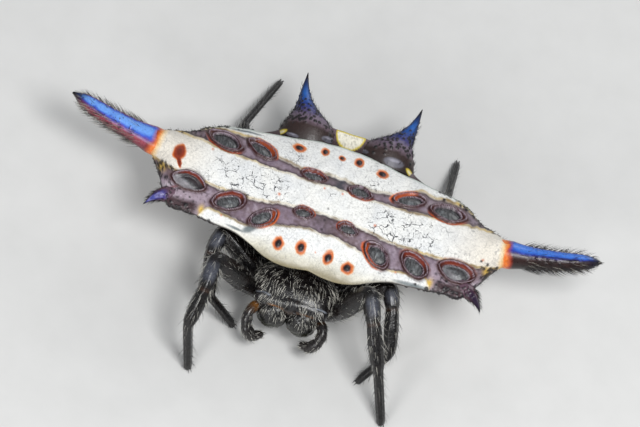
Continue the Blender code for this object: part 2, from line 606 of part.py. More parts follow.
def build():
    clear_scene()
    group = bpy.data.collections.new("spiny_orb_weaver")
    scraps = bpy.data.collections.new("cutters")
    for made in (group, scraps):
        bpy.context.scene.collection.children.link(made)
    white = material("plate_white", PLATE_WHITE, 0.45)
    horn = material("spine_horn", HORN, 0.35)
    black = material("leg_black", BLACK, 0.35)
    glass = material("eye_gloss", (0.01, 0.01, 0.012), 0.08)

    abdomen = make_abdomen("abdomen", 0.0, white, group)
    rims = [make_sigillum_rim(f"rim_{side}_{k}", side, place, scraps)
            for side in (1, -1) for k, place in enumerate(SIGILLA)]
    parts = [combine(abdomen, rims, "UNION")]
    around_abdomen = make_abdomen("abdomen_cutter", GAP, None, scraps)
    prosoma = make_prosoma("cephalothorax", 0.0, black, group)
    x, y, z, radius = TUBERCLE
    swellings = [ball(f"tubercle_{side}", (PROSOMA_X + x * side, y, z), (radius * 0.9, radius * 1.2, radius),
                      scraps, segments=12, rows=8) for side in (1, -1)]
    prosoma = combine(prosoma, swellings, "UNION")
    around_prosoma = make_prosoma("cephalothorax_cutter", GAP, None, scraps)
    near_prosoma = make_prosoma("eye_cutter", EYE_GAP, None, scraps)
    near_swellings = [ball(f"eye_cutter_{side}", (PROSOMA_X + x * side, y, z),
                           (radius * 0.9 + EYE_GAP, radius * 1.2 + EYE_GAP, radius + EYE_GAP),
                           scraps, segments=12, rows=8) for side in (1, -1)]
    parts.append(prosoma)
    for word, side in (("left", 1), ("right", -1)):
        parts.append(make_median_spine(f"spine_median_{word}", side, horn, group, scraps))
        for make, kind in ((make_anterior_spine, "anterior"), (make_posterior_spine, "posterior")):
            spine = make(f"spine_{kind}_{word}", side, horn, group)
            parts.append(combine(spine, [around_abdomen], "DIFFERENCE"))
        chelicera = make_chelicera(f"chelicera_{word}", side, black, group, scraps)
        parts.append(combine(chelicera, [around_prosoma], "DIFFERENCE"))
        palp = make_palp(f"palp_{word}", black, group)
        parts.append(combine(palp, [around_prosoma], "DIFFERENCE"))
        for name, (x, y, z, radius) in EYES.items():
            eye = ball(f"{name}_{word}", (PROSOMA_X + x * side, y, z), (radius,) * 3, group, glass, 10, 8)
            parts.append(combine(eye, [near_prosoma, *near_swellings], "DIFFERENCE"))
    pedicel = make_pedicel("pedicel", black, group)
    parts.append(combine(pedicel, [around_abdomen, around_prosoma], "DIFFERENCE"))
    spinnerets = make_spinnerets("spinnerets", black, group, scraps)
    parts.append(combine(spinnerets, [around_abdomen], "DIFFERENCE"))
    for name in LEGS:
        lengths = make_leg(name, black, group)
        combine(lengths[0], [around_prosoma], "DIFFERENCE")
        parts += lengths
    for scrap in list(scraps.objects):
        bpy.data.objects.remove(scrap, do_unlink=True)
    stand_model(parts)


build()
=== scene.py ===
"""A spiny orb weaver as a still, life-size model: hard abdomen, six spines, front body and legs."""

import json
import math

import bpy
import numpy as np
from mathutils import Matrix, Vector

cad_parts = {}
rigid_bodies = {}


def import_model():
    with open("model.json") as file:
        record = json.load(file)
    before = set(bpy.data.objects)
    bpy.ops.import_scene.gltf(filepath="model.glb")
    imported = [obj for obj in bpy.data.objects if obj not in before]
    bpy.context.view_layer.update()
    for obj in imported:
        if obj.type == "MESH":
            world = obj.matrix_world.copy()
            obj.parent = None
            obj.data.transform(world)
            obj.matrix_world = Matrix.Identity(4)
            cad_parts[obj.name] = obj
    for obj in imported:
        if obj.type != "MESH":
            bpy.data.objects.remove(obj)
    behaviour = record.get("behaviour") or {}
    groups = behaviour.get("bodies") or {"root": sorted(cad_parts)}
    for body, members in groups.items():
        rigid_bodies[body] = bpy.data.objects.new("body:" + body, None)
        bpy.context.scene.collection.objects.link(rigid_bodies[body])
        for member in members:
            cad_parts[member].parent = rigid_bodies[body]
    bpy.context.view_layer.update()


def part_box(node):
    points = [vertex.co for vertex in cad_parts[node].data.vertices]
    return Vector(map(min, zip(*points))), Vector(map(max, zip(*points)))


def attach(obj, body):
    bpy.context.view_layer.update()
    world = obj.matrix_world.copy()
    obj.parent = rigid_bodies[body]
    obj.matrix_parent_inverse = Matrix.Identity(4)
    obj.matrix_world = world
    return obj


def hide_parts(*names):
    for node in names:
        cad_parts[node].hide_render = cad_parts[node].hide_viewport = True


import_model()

# Abdomen. On the real animal it is one hard hollow shell of cuticle, a plate with a thin rim over a
# soft bag of a belly. Here it is one skin from the solid's own marks, cast in resin, with the pits
# of its muscles (sigilla) raised in it and its bands painted on under a clear coat.
MM = 0.001
PLATE_HEIGHT = 3.5
PLATE_TILT = math.radians(8.0)
PLATE_HALF = 6.2
FRONT_EDGE = [(0.0, -2.52, -0.70), (1.0, -2.64, -0.68), (1.5, -2.56, -0.63), (2.0, -2.36, -0.58),
              (2.6, -2.15, -0.51), (3.5, -2.06, -0.45), (4.6, -1.92, -0.47), (5.1, -1.84, -0.50),
              (5.4, -1.48, -0.45), (5.63, -0.95, -0.42), (5.9, -0.45, -0.45), (6.2, -0.085, -0.45)]
REAR_EDGE = [(0.0, 2.40, -0.30), (1.0, 2.33, -0.30), (2.0, 2.12, -0.30), (3.0, 1.95, -0.30),
             (4.2, 1.69, -0.32), (4.7, 1.42, -0.33), (5.1, 1.14, -0.36), (5.6, 1.0, -0.40),
             (6.2, 0.865, -0.45)]
SIDE_DEPTH, BELLY_DEPTH = -0.93, -2.75
REAR_CREST = [(0.0, 3.14, -0.42), (1.0, 3.17, -0.52), (1.9, 2.97, -0.70), (2.6, 2.42, -0.75),
              (3.4, 2.05, -0.70), (4.6, 1.55, -0.65), (5.5, 1.05, -0.60), (6.2, 0.83, -0.62)]


def smooth_line(marks, at):
    """Cubic Hermite curve through the marks (place first, then values), read at each place in at."""
    marks = np.asarray(marks, float)
    at = np.asarray(at, float)
    place, value = marks[:, 0], marks[:, 1:]
    slope = np.gradient(value, place, axis=0)
    k = np.clip(np.searchsorted(place, at) - 1, 0, len(place) - 2)
    width = (place[k + 1] - place[k])[..., None]
    t = np.clip((at - place[k])[..., None] / width, 0.0, 1.0)
    return (value[k] * (1 + 2 * t) * (1 - t) ** 2 + value[k + 1] * t * t * (3 - 2 * t)
            + slope[k] * width * t * (1 - t) ** 2 - slope[k + 1] * width * t * t * (1 - t))


def ease(low, high, value):
    """Smooth step: 0 below low, 1 above high, t squared times (3 - 2t) between them."""
    t = np.clip((value - low) / (high - low), 0.0, 1.0)
    return t * t * (3 - 2 * t)


def swell(value, middle, width):
    """Bell curve: exp(-((value - middle) / width) squared)."""
    return np.exp(-((value - middle) / width) ** 2)


def tilted(points):
    """Points x, v, w of the plate's own frame turned by its tilt and lifted to its height."""
    c, s = math.cos(PLATE_TILT), math.sin(PLATE_TILT)
    y = points[..., 1] * c + points[..., 2] * s
    z = PLATE_HEIGHT - points[..., 1] * s + points[..., 2] * c
    return np.stack([points[..., 0], y, z], axis=-1)


def body_sections(x, turn):
    """Closed Catmull-Rom loop through eleven marks (v, w) at each x, read at turn in 0 to 11.

    Turn 0 is the front edge, 1 to 3 the top, 4 the rear edge, 5 below its lip, 6 the rear crest, 7 and
    8 the belly, 9 the front of the belly, and 10 below the lip of the front edge.
    """
    near = np.abs(x)
    front, rear, crest = (smooth_line(m, near) for m in (FRONT_EDGE, REAR_EDGE, REAR_CREST))
    bell = swell(near, 0.0, 2.5)
    depth = SIDE_DEPTH + (BELLY_DEPTH - SIDE_DEPTH) * bell
    close = np.clip((near - 4.6) / (PLATE_HALF - 4.6), 0, 1) ** 2
    lip = (1 - close)[:, None]
    top_low = np.array([-0.19, 0.0, -0.03]) * lip + np.array([-0.09, 0.02, -0.09]) * (1 - lip)
    span = rear[:, 0] - front[:, 0]
    low_rear = np.stack([rear[:, 0] * (0.60 + 0.15 * bell), (crest[:, 1] + depth) / 2 - 0.25 * bell], 1)
    low_rear[:, 0] += close * (0.70 - low_rear[:, 0])
    low_front = np.stack([front[:, 0] * (0.62 - 0.18 * bell),
                          (front[:, 1] + depth) / 2 - 0.10 + 0.05 * bell], 1)
    low_front[:, 0] += close * (0.07 - low_front[:, 0])
    marks = [front]
    marks += [np.stack([front[:, 0] + span * (k + 1) / 4, top_low[:, k]], 1) for k in range(3)]
    marks += [rear, rear + lip * (0.10, -0.24) + (1 - lip) * (-0.01, -0.10), crest, low_rear]
    marks += [np.stack([(front[:, 0] + rear[:, 0]) / 2 * (1 - bell) + 0.75 * bell, depth], 1)]
    marks += [low_front, front + lip * (0.16, -0.30) + (1 - lip) * (0.02, -0.14)]
    marks = np.array(marks)
    j = np.floor(turn).astype(int) % 11
    t = (turn % 1.0)[:, None, None]
    a, b, c, d = (marks[(j + k) % 11] for k in (-1, 0, 1, 2))
    loop = 0.5 * (2 * b + (c - a) * t + (2 * a - 5 * b + 4 * c - d) * t * t
                  + (3 * b - 3 * c + d - a) * t ** 3)
    loop = loop.transpose(1, 0, 2)
    return np.concatenate([np.broadcast_to(x[:, None, None], loop.shape[:2] + (1,)), loop], 2)


def outward(points):
    """Unit normals of a grid of closed sections: the cross product of its two slopes."""
    along = np.gradient(points, axis=0)
    round_it = (np.roll(points, -1, 1) - np.roll(points, 1, 1)) / 2
    normal = np.cross(round_it, along)
    normal /= np.linalg.norm(normal, axis=2)[..., None] + 1e-12
    return normal if (normal * (points - points.mean(1)[:, None])).sum() > 0 else -normal


def paint(red, green, blue):
    """A colour of 0 to 255 as seen on a screen, as linear light."""
    c = np.array([red, green, blue]) / 255.0
    return np.where(c < 0.04045, c / 12.92, ((c + 0.055) / 1.055) ** 2.4)


def lay(colour, paint_on, mask):
    """One coat of paint over the colours (or one colour) below: below * (1 - mask) + paint * mask."""
    mask = np.clip(mask, 0, 1)[..., None]
    return colour * (1 - mask) + paint_on * mask


def speckle(x, y, pitch, seed):
    """Value noise from -1 to 1: hashed corners of a square net of that pitch, eased between them."""
    u, v = x / pitch, y / pitch
    i, j = np.floor(u), np.floor(v)
    s, t = ease(0, 1, u - i), ease(0, 1, v - j)

    def corner(a, b):
        h = np.sin(a * 127.1 + b * 311.7 + seed * 74.7) * 43758.5453
        return 2 * (h - np.floor(h)) - 1

    low = corner(i, j) * (1 - s) + corner(i + 1, j) * s
    high = corner(i, j + 1) * (1 - s) + corner(i + 1, j + 1) * s
    return low * (1 - t) + high * t


def wavering(x, seed, size):
    """A slow uneven line: three sines along x, whose pitches don't divide, and noise."""
    return size * (np.sin(4.1 * x + seed) + 0.7 * np.sin(9.7 * x + 2.3 * seed)
                   + 0.4 * np.sin(23.0 * x + seed) + 0.9 * speckle(x, 0 * x + seed, 0.13, 41))


def skin(name, points, finish, **paints):
    """A grid of sections as one mesh in metres: quads between neighbours, a fan at each end.

    Colour is one colour, or one for each point. Any other of paints is a number in the same way.
    """
    rows, cols = points.shape[:2]
    r, c = np.meshgrid(np.arange(rows - 1), np.arange(cols), indexing="ij")
    n = (c + 1) % cols
    quads = np.stack([r * cols + c, r * cols + n, (r + 1) * cols + n, (r + 1) * cols + c], -1)
    faces = quads.reshape(-1, 4).tolist()
    flat = points.reshape(-1, 3)
    ends = (0, rows - 1)
    k = np.arange(cols)
    for row in ends:
        fan = [np.full(cols, len(flat)), row * cols + (k + 1) % cols, row * cols + k]
        fan = fan if row == 0 else [fan[0], fan[2], fan[1]]
        faces += np.stack(fan, 1).tolist()
        flat = np.vstack([flat, points[row].mean(0)])
    a, b, d = (flat[quads[..., m].ravel()] - flat.mean(0) for m in (0, 1, 2))
    if (a * np.cross(b, d)).sum() < 0:
        faces = [face[::-1] for face in faces]
    mesh = bpy.data.meshes.new(name)
    mesh.from_pydata((flat * MM + SHIFT).tolist(), [], faces)
    for key, value in paints.items():
        value = np.broadcast_to(value, (rows, cols, 3) if key == "Colour" else (rows, cols))
        value = value.reshape(rows, cols, -1)
        value = np.vstack([value.reshape(rows * cols, -1)] + [value[row].mean(0)[None] for row in ends])
        if key == "Colour":
            layer = mesh.attributes.new(key, "FLOAT_COLOR", "POINT")
            layer.data.foreach_set("color", np.hstack([value, np.ones((len(value), 1))]).ravel())
        else:
            layer = mesh.attributes.new(key, "FLOAT", "POINT")
            layer.data.foreach_set("value", value.ravel())
    mesh.shade_smooth()
    mesh.materials.append(finish)
    made = bpy.data.objects.new(name, mesh)
    bpy.context.scene.collection.objects.link(made)
    return made


def knobs(points, normals, places, width, height):
    """Rounded granules: each lifts the skin by height times exp(-(distance / width) squared)."""
    flat = points.reshape(-1, 3)
    lift = np.zeros(len(flat))
    for place, w, h in zip(places, width, height):
        lift = np.maximum(lift, h * np.exp(-((flat - place) ** 2).sum(1) / w ** 2))
    lift = lift.reshape(points.shape[:2])
    return points + normals * lift[..., None], lift


def scatter(points, weight, count, seed):
    """Places on a grid of sections drawn in proportion to area times weight, with what lies there."""
    rng = np.random.default_rng(seed)
    closed = np.concatenate([points, points[:, :1]], 1)
    normal = outward(points)
    normal = np.concatenate([normal, normal[:, :1]], 1)
    weight = np.concatenate([weight, weight[:, :1]], 1)
    along, across = closed[1:, :-1] - closed[:-1, :-1], closed[:-1, 1:] - closed[:-1, :-1]
    area = np.linalg.norm(np.cross(along, across), axis=2) * weight[:-1, :-1]
    cell = np.searchsorted(np.cumsum(area.ravel()) / area.sum(), rng.random(count)).clip(0, area.size - 1)
    i, j = np.unravel_index(cell, area.shape)
    s, t = rng.random(count)[:, None], rng.random(count)[:, None]

    def read(grid):
        return ((grid[i, j] * (1 - s) + grid[i + 1, j] * s) * (1 - t)
                + (grid[i, j + 1] * (1 - s) + grid[i + 1, j + 1] * s) * t)

    spot, up = read(closed), read(normal)
    way = along[i, j] / (np.linalg.norm(along[i, j], axis=1)[:, None] + 1e-9)
    unwrapped = np.stack([(i + s[:, 0]) / (len(points) - 1), (j + t[:, 0]) / points.shape[1]], 1)
    return spot, up / np.linalg.norm(up, axis=1)[:, None], way, unwrapped, rng


# The stations stand closer towards the middle of the plate, and the shell is moved along y to lie
# where the solid does.
low, high = (np.array(corner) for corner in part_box("abdomen"))
STATIONS = 420
even = np.linspace(-1.0, 1.0, STATIONS)
station_x = (PLATE_HALF - 0.001) * (0.82 * even + 0.18 * even ** 3)
steps = [36, 36, 36, 36, 16, 16, 10, 8, 8, 8, 14]
turn = np.concatenate([j + np.arange(n) / n for j, n in enumerate(steps)])
shell = body_sections(station_x, turn)
plain = tilted(shell)
middle = (plain.reshape(-1, 3).min(0) + plain.reshape(-1, 3).max(0)) / 2
SHIFT = np.array([0.0, (low + high)[1] / 2 - middle[1] * MM, 0.0])


def set_back(local):
    """How far back a point of the plate's frame lies, read on a plane that faces up and forward."""
    return 0.788 * local[..., 1] + 0.616 * local[..., 2]


x = shell[..., 0]
near = np.abs(x)
back = set_back(shell)
turns = np.broadcast_to(turn, x.shape)
on_top = (turns <= 4.0) | (turns > 10.2)

# The ground of the plate: cool white, warmer to the sides, with painted shade darkening it towards the
# front edge, and speckled.
WHITE = paint(238, 238, 234)
CREAM = paint(240, 228, 186)
YELLOW = paint(222, 184, 70)
MAROON = paint(48, 16, 16)
MAUVE = paint(126, 110, 124)
MAUVE_PALE = paint(174, 158, 170)
BROWN = paint(84, 62, 54)
SLATE = paint(104, 106, 108)
INK = paint(18, 15, 17)
OLIVE = paint(70, 68, 50)

cloud = speckle(x, back, 0.55, 1) * 0.6 + speckle(x, back, 0.23, 2) * 0.4
fine = speckle(x, back, 0.09, 3)
colour = lay(WHITE, paint(214, 217, 220), 0.30 + 0.5 * cloud)
colour = lay(colour, paint(228, 216, 196), ease(3.6, 5.6, near) * 0.55)
# Painted shade: the front margin goes grey, then olive-brown, where it curves down at the front edge.
colour = lay(colour, paint(196, 190, 166), ease(-1.75, -2.35, back + 0.08 * cloud) * 0.7)
colour = lay(colour, paint(128, 118, 88), ease(-2.18, -2.62, back + 0.06 * cloud) * 0.95)
specks = ease(0.42, 0.75, speckle(x, back, 0.045, 51)) * ease(-0.4, 0.5, speckle(x, back, 0.6, 52))
colour = lay(colour, paint(120, 120, 124), specks * ease(0.3, 1.4, near) * 0.55)

# Each band lies between two lines that waver: first the rear one, then the front one.
rear_low, rear_high, front_high, front_low = (smooth_line(marks, near)[..., 0] for marks in (
    [(0, .37), (2, .38), (3, .42), (4, .49), (5, .58), (5.6, .62), (6.3, .60)],
    [(0, .70), (1.8, .70), (2.2, .80), (2.75, 1.10), (3.3, 1.07), (3.9, 1.10), (4.4, 1.0),
     (4.9, .80), (5.3, .70), (6.3, .66)],
    [(0, -.62), (1.2, -.66), (2, -.78), (3, -.85), (4, -.80), (5, -.75), (5.5, -.68), (5.8, -.62),
     (6.3, -.45)],
    [(0, -1.22), (.3, -1.18), (1, -1.30), (1.5, -1.38), (2, -1.62), (2.5, -1.68), (3, -1.60),
     (3.5, -1.58), (3.9, -1.62), (4.05, -1.9), (4.2, -2.6), (6.3, -3)]))
edge = wavering(x, 1.3, 0.014) + 0.02 * fine
into_rear = np.minimum(back - rear_low - edge, rear_high + wavering(x, 2.1, 0.014) + 0.02 * fine - back)
into_front = np.minimum(front_high + edge - back, back - front_low - wavering(x, 4.2, 0.014) - 0.02 * fine)
into_band = np.maximum(into_rear, into_front)
band = ease(-0.02, 0.035, into_band)
near_band = swell(into_band, -0.03, 0.045)
colour = lay(colour, paint(196, 164, 70),
             near_band * (0.40 + 0.5 * ease(1.5, 3.5, near)) * (0.8 + 0.4 * cloud))
colour = lay(colour, paint(110, 84, 40), near_band * ease(-0.4, 0.4, speckle(x, back, 0.35, 23)) * 0.8)
rim_brown = swell(into_band, 0.03, 0.05)
streak = speckle(x * 2.2, back, 0.22, 21)
tone = lay(MAUVE, MAUVE_PALE, 0.10 + 0.45 * cloud + 0.25 * streak)
tone = lay(tone, BROWN, 0.22 + 0.35 * fine + 0.35 * speckle(x, back, 0.8, 22))
tone = lay(tone, paint(52, 30, 26), rim_brown * 0.8)
slate_patch = swell(x, 0.2, 0.28) * ease(0.3, 0.45, back)
tone = lay(tone, paint(62, 64, 74), (ease(0.6, 0.1, near) * 0.30 + slate_patch * 0.5) * (0.8 + 0.5 * fine))
waxy = ease(0.1, 0.7, speckle(x * 0.9 + 0.8 * back, back - 0.5 * x, 0.10, 24)) * ease(-0.8, -1.0, back)
tone = lay(tone, paint(176, 164, 176), waxy * ease(1.4, 2.2, near) * 0.35)
corner = ease(4.0, 4.3, near) * ease(-1.42, -1.60, back + 0.05 * cloud)
tone = lay(tone, MAUVE_PALE, ease(3.4, 4.0, near) * ease(-0.9, -1.2, back) * 0.6)
tone = lay(tone, paint(54, 30, 34), corner * 0.95)
for start, slope, from_x, wide, line_tone, much in ((1.20, 0.75, 5.28, 0.05, paint(196, 186, 194), 0.75),
                                                    (1.33, 0.70, 5.22, 0.04, paint(120, 52, 44), 0.8)):
    line = swell(back + start + slope * (near - from_x) + 0.05 * cloud, 0.0, wide)
    tone = lay(tone, line_tone, line * ease(4.8, 5.0, near) * much)
freckle = ease(0.35, 0.62, speckle(x, back, 0.055, 71)) * ease(-0.2, 0.4, speckle(x, back, 0.4, 72))
tone = lay(tone, paint(34, 26, 30), freckle * ease(3.6, 4.3, near) * 0.85)
colour = lay(colour, tone, band)

# Slate-grey windows in the front margin, and the grey-green line along both rims.
for wx, wb, wide, tall, lean in ((-2.26, -1.80, 0.22, 0.13, 0.5), (3.40, -1.93, 0.55, 0.07, 0.06),
                                 (-3.4, 1.24, 0.5, 0.035, 0.1), (-2.75, -1.93, 0.30, 0.04, -0.1)):
    window = ((x - wx) / wide) ** 2 + ((back - wb - lean * (x - wx)) / tall) ** 2
    colour = lay(colour, paint(92, 104, 108), ease(1.9, 0.2, window + 0.5 * cloud) * 0.9 * on_top)
top_turn = np.where(turns > 10.0, turns - 11.0, turns)
outer = ease(1.6, 2.6, near)
front_rim = ease(0.0, 1.0, (-0.30 + 0.22 * outer - top_turn - 0.03 * cloud) / (0.32 - 0.12 * outer))
front_rim = front_rim * (top_turn < 0)
rear_rim = swell(top_turn, 4.05, 0.07) * ease(5.2, 4.4, near)
colour = lay(colour, lay(OLIVE, paint(46, 38, 36), outer), front_rim * 0.92)
colour = lay(colour, paint(120, 150, 130), rear_rim * 0.65)
gold = np.exp(-((near - 4.0 + 0.04 * cloud) / 0.09) ** 2 - ((back + 1.68) / 0.14) ** 2)
colour = lay(colour, YELLOW, gold * on_top * 0.9)

# Sigilla: sunken oval scars where muscles hold the shell, each with two raised lips round a dish. By
# column: x, distance back, half length, half width, turn in degrees, direction of its red side, how
# orange that side is, and how far its dish is open and grey, with painted light on its lower side
# and painted shade on its upper side.
SIGILLA = [(-0.78, 0.55, 0.43, 0.20, 0, 90, 0.35, 0), (-2.68, 0.87, 0.53, 0.25, -15, 65, 0.8, 0),
           (-3.93, 0.76, 0.62, 0.29, -9, -90, 0.45, 0), (-0.72, -0.73, 0.33, 0.21, 5, 60, 0.5, 0),
           (-1.96, -1.32, 0.48, 0.29, 36, -50, 0.9, 0), (-3.20, -1.12, 0.56, 0.34, 20, 80, 0.1, 0),
           (-4.68, -0.90, 0.57, 0.33, -4, 80, 0.1, 1), (0.88, 0.48, 0.42, 0.21, -4, -80, 0.4, 0),
           (2.52, 0.76, 0.54, 0.26, 14, 130, 0.9, 0), (3.90, 0.71, 0.62, 0.29, 0, -90, 0.6, 0),
           (0.84, -0.80, 0.34, 0.21, -6, 140, 0.5, 0), (2.02, -1.34, 0.50, 0.34, -34, -110, 0.9, 0),
           (3.32, -1.28, 0.52, 0.36, -28, 110, 0.25, 0), (4.72, -1.06, 0.62, 0.38, -3, 90, 0.2, 0.4)]
OUTSIDE = 9.0  # the underside counts as this far out of a mark, past all its rings
relief = np.zeros_like(x)
quiet = np.ones_like(x)
for sx, sb, long, wide, angle, side, hot, open_shaded_dish in SIGILLA:
    c, s = math.cos(math.radians(angle)), math.sin(math.radians(angle))
    u = ((x - sx) * c + (back - sb) * s) / long
    v = (-(x - sx) * s + (back - sb) * c) / wide
    theta = np.arctan2(v, u)
    pointed, blunt = 1.45, 1.8
    power = pointed if sb > 0 or abs(sx) > 4 or abs(sx) < 1 else blunt
    lens = 1.0 + 0.04 * np.cos(2 * theta) + 0.03 * np.cos(3 * theta + sx)
    wobble = 1.0 + 0.035 * speckle(x, back, 0.2, 7) + 0.025 * fine
    lens_u = u / (1.06 * lens * wobble)
    lens_v = v / (1.02 * lens * wobble)
    d = (np.abs(lens_u) ** 2.1 + np.abs(lens_v) ** power) ** (2 / (2.1 + power))
    d = np.where(on_top, d, OUTSIDE)
    a = math.radians(side)
    toward = (u * math.cos(a) + v * math.sin(a)) / np.maximum(np.hypot(u, v), 1e-6)
    inner = (np.abs(lens_u + 0.11 * math.cos(a)) ** 2.1
             + np.abs(lens_v + 0.11 * math.sin(a)) ** (power + 0.2)) ** (2 / (2.3 + power))
    inner = np.where(on_top, inner, OUTSIDE)
    hot_side = ease(0.0, 0.75, toward)
    colour = lay(colour, paint(78, 52, 50), ease(1.25, 1.02, d) * 0.6)
    outer_red = lay(paint(150, 52, 24), paint(222, 104, 30), hot_side * hot + 0.25 * fine)
    colour = lay(colour, outer_red, ease(1.22, 1.09, d) * hot_side * ease(0.05, 0.45, hot) * 0.9)
    colour = lay(colour, paint(56, 24, 24), ease(1.07, 1.01, d))
    ridge_tone = lay(MAUVE_PALE, paint(104, 84, 96), 0.55 + 0.6 * fine)
    colour = lay(colour, ridge_tone, ease(0.935, 0.91, d) * 0.9)
    wall = lay(paint(60, 26, 22), paint(116, 42, 24), hot_side * ease(0.7, 0.3, hot) + 0.3 * fine)
    wall = lay(wall, paint(196, 84, 28), hot_side * ease(0.6, 0.9, hot) * (0.8 + 0.3 * cloud))
    colour = lay(colour, wall, ease(0.88, 0.85, d))
    colour = lay(colour, MAROON, ease(0.76, 0.73, inner))
    colour = lay(colour, ridge_tone, ease(0.71, 0.69, inner) * 0.9)
    colour = lay(colour, INK, ease(0.655, 0.63, inner) * 0.95)
    wrinkle = 0.5 + 0.5 * np.sin(30 * u + 7 * v + 6 * speckle(x, back, 0.12, 9))
    dish = lay(SLATE * 0.8, paint(34, 35, 38), wrinkle * 0.8)
    dish = lay(dish, paint(140, 146, 150), ease(0.35, 0.9, speckle(x, back, 0.07, 31)) * 0.45)
    # Painted light and shade in an open dish: pale on its lower side, dark on its upper side.
    dish = lay(dish, paint(158, 154, 160), open_shaded_dish * ease(0.0, -0.45, v + 0.6 * u) * (0.8 + 0.3 * fine))
    dish = lay(dish, paint(52, 46, 50), open_shaded_dish * ease(-0.15, 0.2, v + 0.5 * u) * 0.9)
    grow = 1.0 + 0.45 * open_shaded_dish
    colour = lay(colour, dish, ease(0.575, 0.545, inner / grow))
    rise = 0.065 * swell(d, 0.92, 0.07) - 0.03 * swell(d, 1.06, 0.06)
    rise -= 0.085 * ease(0.88, 0.66, d)
    rise += 0.040 * swell(inner, 0.68, 0.055) - 0.025 * swell(inner, 0.58, 0.05)
    rise += 0.035 * ease(0.54, 0.15, inner) + 0.014 * (wrinkle - 0.5) * ease(0.54, 0.4, inner)
    relief += rise * np.sqrt(wide / 0.3)
    quiet *= ease(0.98, 1.1, d)

# Orange spots with a black grain in each: x, distance back, half length, half width.
SPOTS = [(-1.20, -1.98, .17, .21), (-.45, -1.87, .17, .22), (.52, -1.92, .17, .22), (1.22, -2.06, .20, .19),
         (-1.52, 1.27, .22, .13), (-.65, 1.42, .13, .13), (-.05, 1.37, .12, .08), (.55, 1.42, .16, .13),
         (1.40, 1.28, .20, .13)]
for sx, sb, long, wide in SPOTS:
    d = np.hypot((x - sx) / long, (back - sb) / wide) * (1 + 0.13 * speckle(x, back, 0.12, 5) + 0.05 * fine)
    d = np.where(on_top, d, OUTSIDE)
    colour = lay(colour, paint(226, 176, 120), ease(1.30, 1.05, d) * 0.7)
    colour = lay(colour, paint(212, 116, 62), ease(1.18, 0.92, d))
    colour = lay(colour, paint(150, 62, 30), ease(0.86, 0.66, d) * 0.9)
    colour = lay(colour, paint(26, 20, 24), ease(0.70, 0.50, d))
    relief += 0.03 * ease(0.55, 0.1, d) - 0.012 * swell(d, 0.75, 0.2)
DOTS = [(-4.25, .35, .035), (-.30, .25, .035), (.33, .24, .035), (1.68, -.43, .045), (-1.68, -.40, .045),
        (5.45, -.42, .04), (.06, -1.88, .025), (-3.3, -1.67, .03), (2.8, -1.70, .03)]
DARK_DOTS = [(.02, -.75, .040), (.03, -1.08, .040), (.02, -.36, .030), (4.10, -1.32, .045),
             (4.33, -1.39, .045), (-4.33, -1.50, .04), (3.15, -1.20, .03), (1.68, .62, .03)]
for places, dot_tone in ((DOTS, paint(212, 112, 56)), (DARK_DOTS, paint(40, 32, 38))):
    for sx, sb, wide in places:
        dot = np.exp(-(((x - sx) ** 2 + (back - sb) ** 2) / wide ** 2))
        colour = lay(colour, dot_tone, dot * on_top)

# The keyhole mark on the right side alone, and the fiery ring at the foot of each median spine.
keyhole = np.hypot((x + 5.28) / 0.20, (back + 0.08) / 0.25)
stem = np.hypot((x + 5.18 - (back + 0.40) * -0.45) / 0.075, (back + 0.38) / 0.21)
mark = -np.log(np.exp(-6 * keyhole) + np.exp(-6 * stem)) / 6
mark = mark * (1 + 0.10 * speckle(x, back, 0.13, 61) + 0.05 * fine)
colour = lay(colour, paint(206, 110, 44), ease(1.22, 0.98, mark) * on_top)
colour = lay(colour, paint(138, 48, 20), ease(1.0, 0.82, mark) * on_top)
colour = lay(colour, paint(72, 22, 14), ease(0.62, 0.30, mark) * on_top * 0.6)
ring = near - 6.09 - 0.16 * (0.1 - back) + 0.05 * cloud + 0.02 * fine
colour = lay(colour, paint(236, 196, 120), ease(-0.26, -0.02, ring) * 0.8)
colour = lay(colour, paint(222, 120, 44), ease(-0.10, 0.04, ring) * 0.95)
colour = lay(colour, paint(168, 62, 34), ease(0.03, 0.12, ring) * 0.9)
corner_gold = np.exp(-((near - 5.68) / .12) ** 2 - ((back + .76) / .12) ** 2)
colour = lay(colour, YELLOW, corner_gold * on_top * 0.8)

# Behind the rim and underneath: dark leathery wall, with a pale patch between the posterior spines.
wall_tone = lay(paint(74, 52, 54), paint(40, 28, 32), 0.5 + 0.5 * cloud)
under_tone = lay(paint(58, 46, 44), paint(120, 100, 78), 0.35 + 0.6 * speckle(x, shell[..., 1], 0.35, 11))
under_tone = lay(under_tone, CREAM,
                 ease(0.25, 0.6, speckle(x, shell[..., 1], 0.5, 12)) * ease(2.6, 1.2, near) * 0.5)
wall_mask = ease(4.08, 4.22, top_turn)
colour = lay(colour, wall_tone, wall_mask)
crest_tone = lay(MAUVE, BROWN, 0.4 + 0.5 * cloud)
colour = lay(colour, crest_tone, ease(5.2, 5.7, top_turn) * ease(2.6, 2.2, near) * 0.8)
behind = (top_turn > 4.12) & (top_turn < 6.7)
cup = np.hypot(x / 0.50, (np.minimum(back, 2.24) - 2.30) / 0.60)
colour = lay(colour, paint(204, 184, 62), ease(1.06, 1.0, cup) * behind)
inside_cup = ease(0.96, 0.89, cup + 0.02 * fine) * behind * ease(2.235, 2.20, back)
colour = lay(colour, paint(226, 222, 206), inside_cup)
colour = lay(colour, paint(150, 146, 130), inside_cup * ease(0.3, 0.8, speckle(x, back, 0.05, 33)) * 0.6)
colour = lay(colour, paint(60, 50, 44), behind * ease(2.24, 2.28, back) * ease(0.62, 0.5, near) * 0.9)
below = np.where(turns > 6.0, ease(6.2, 6.9, turns) * ease(10.45, 10.15, turns), 0.0)
colour = lay(colour, under_tone, below)

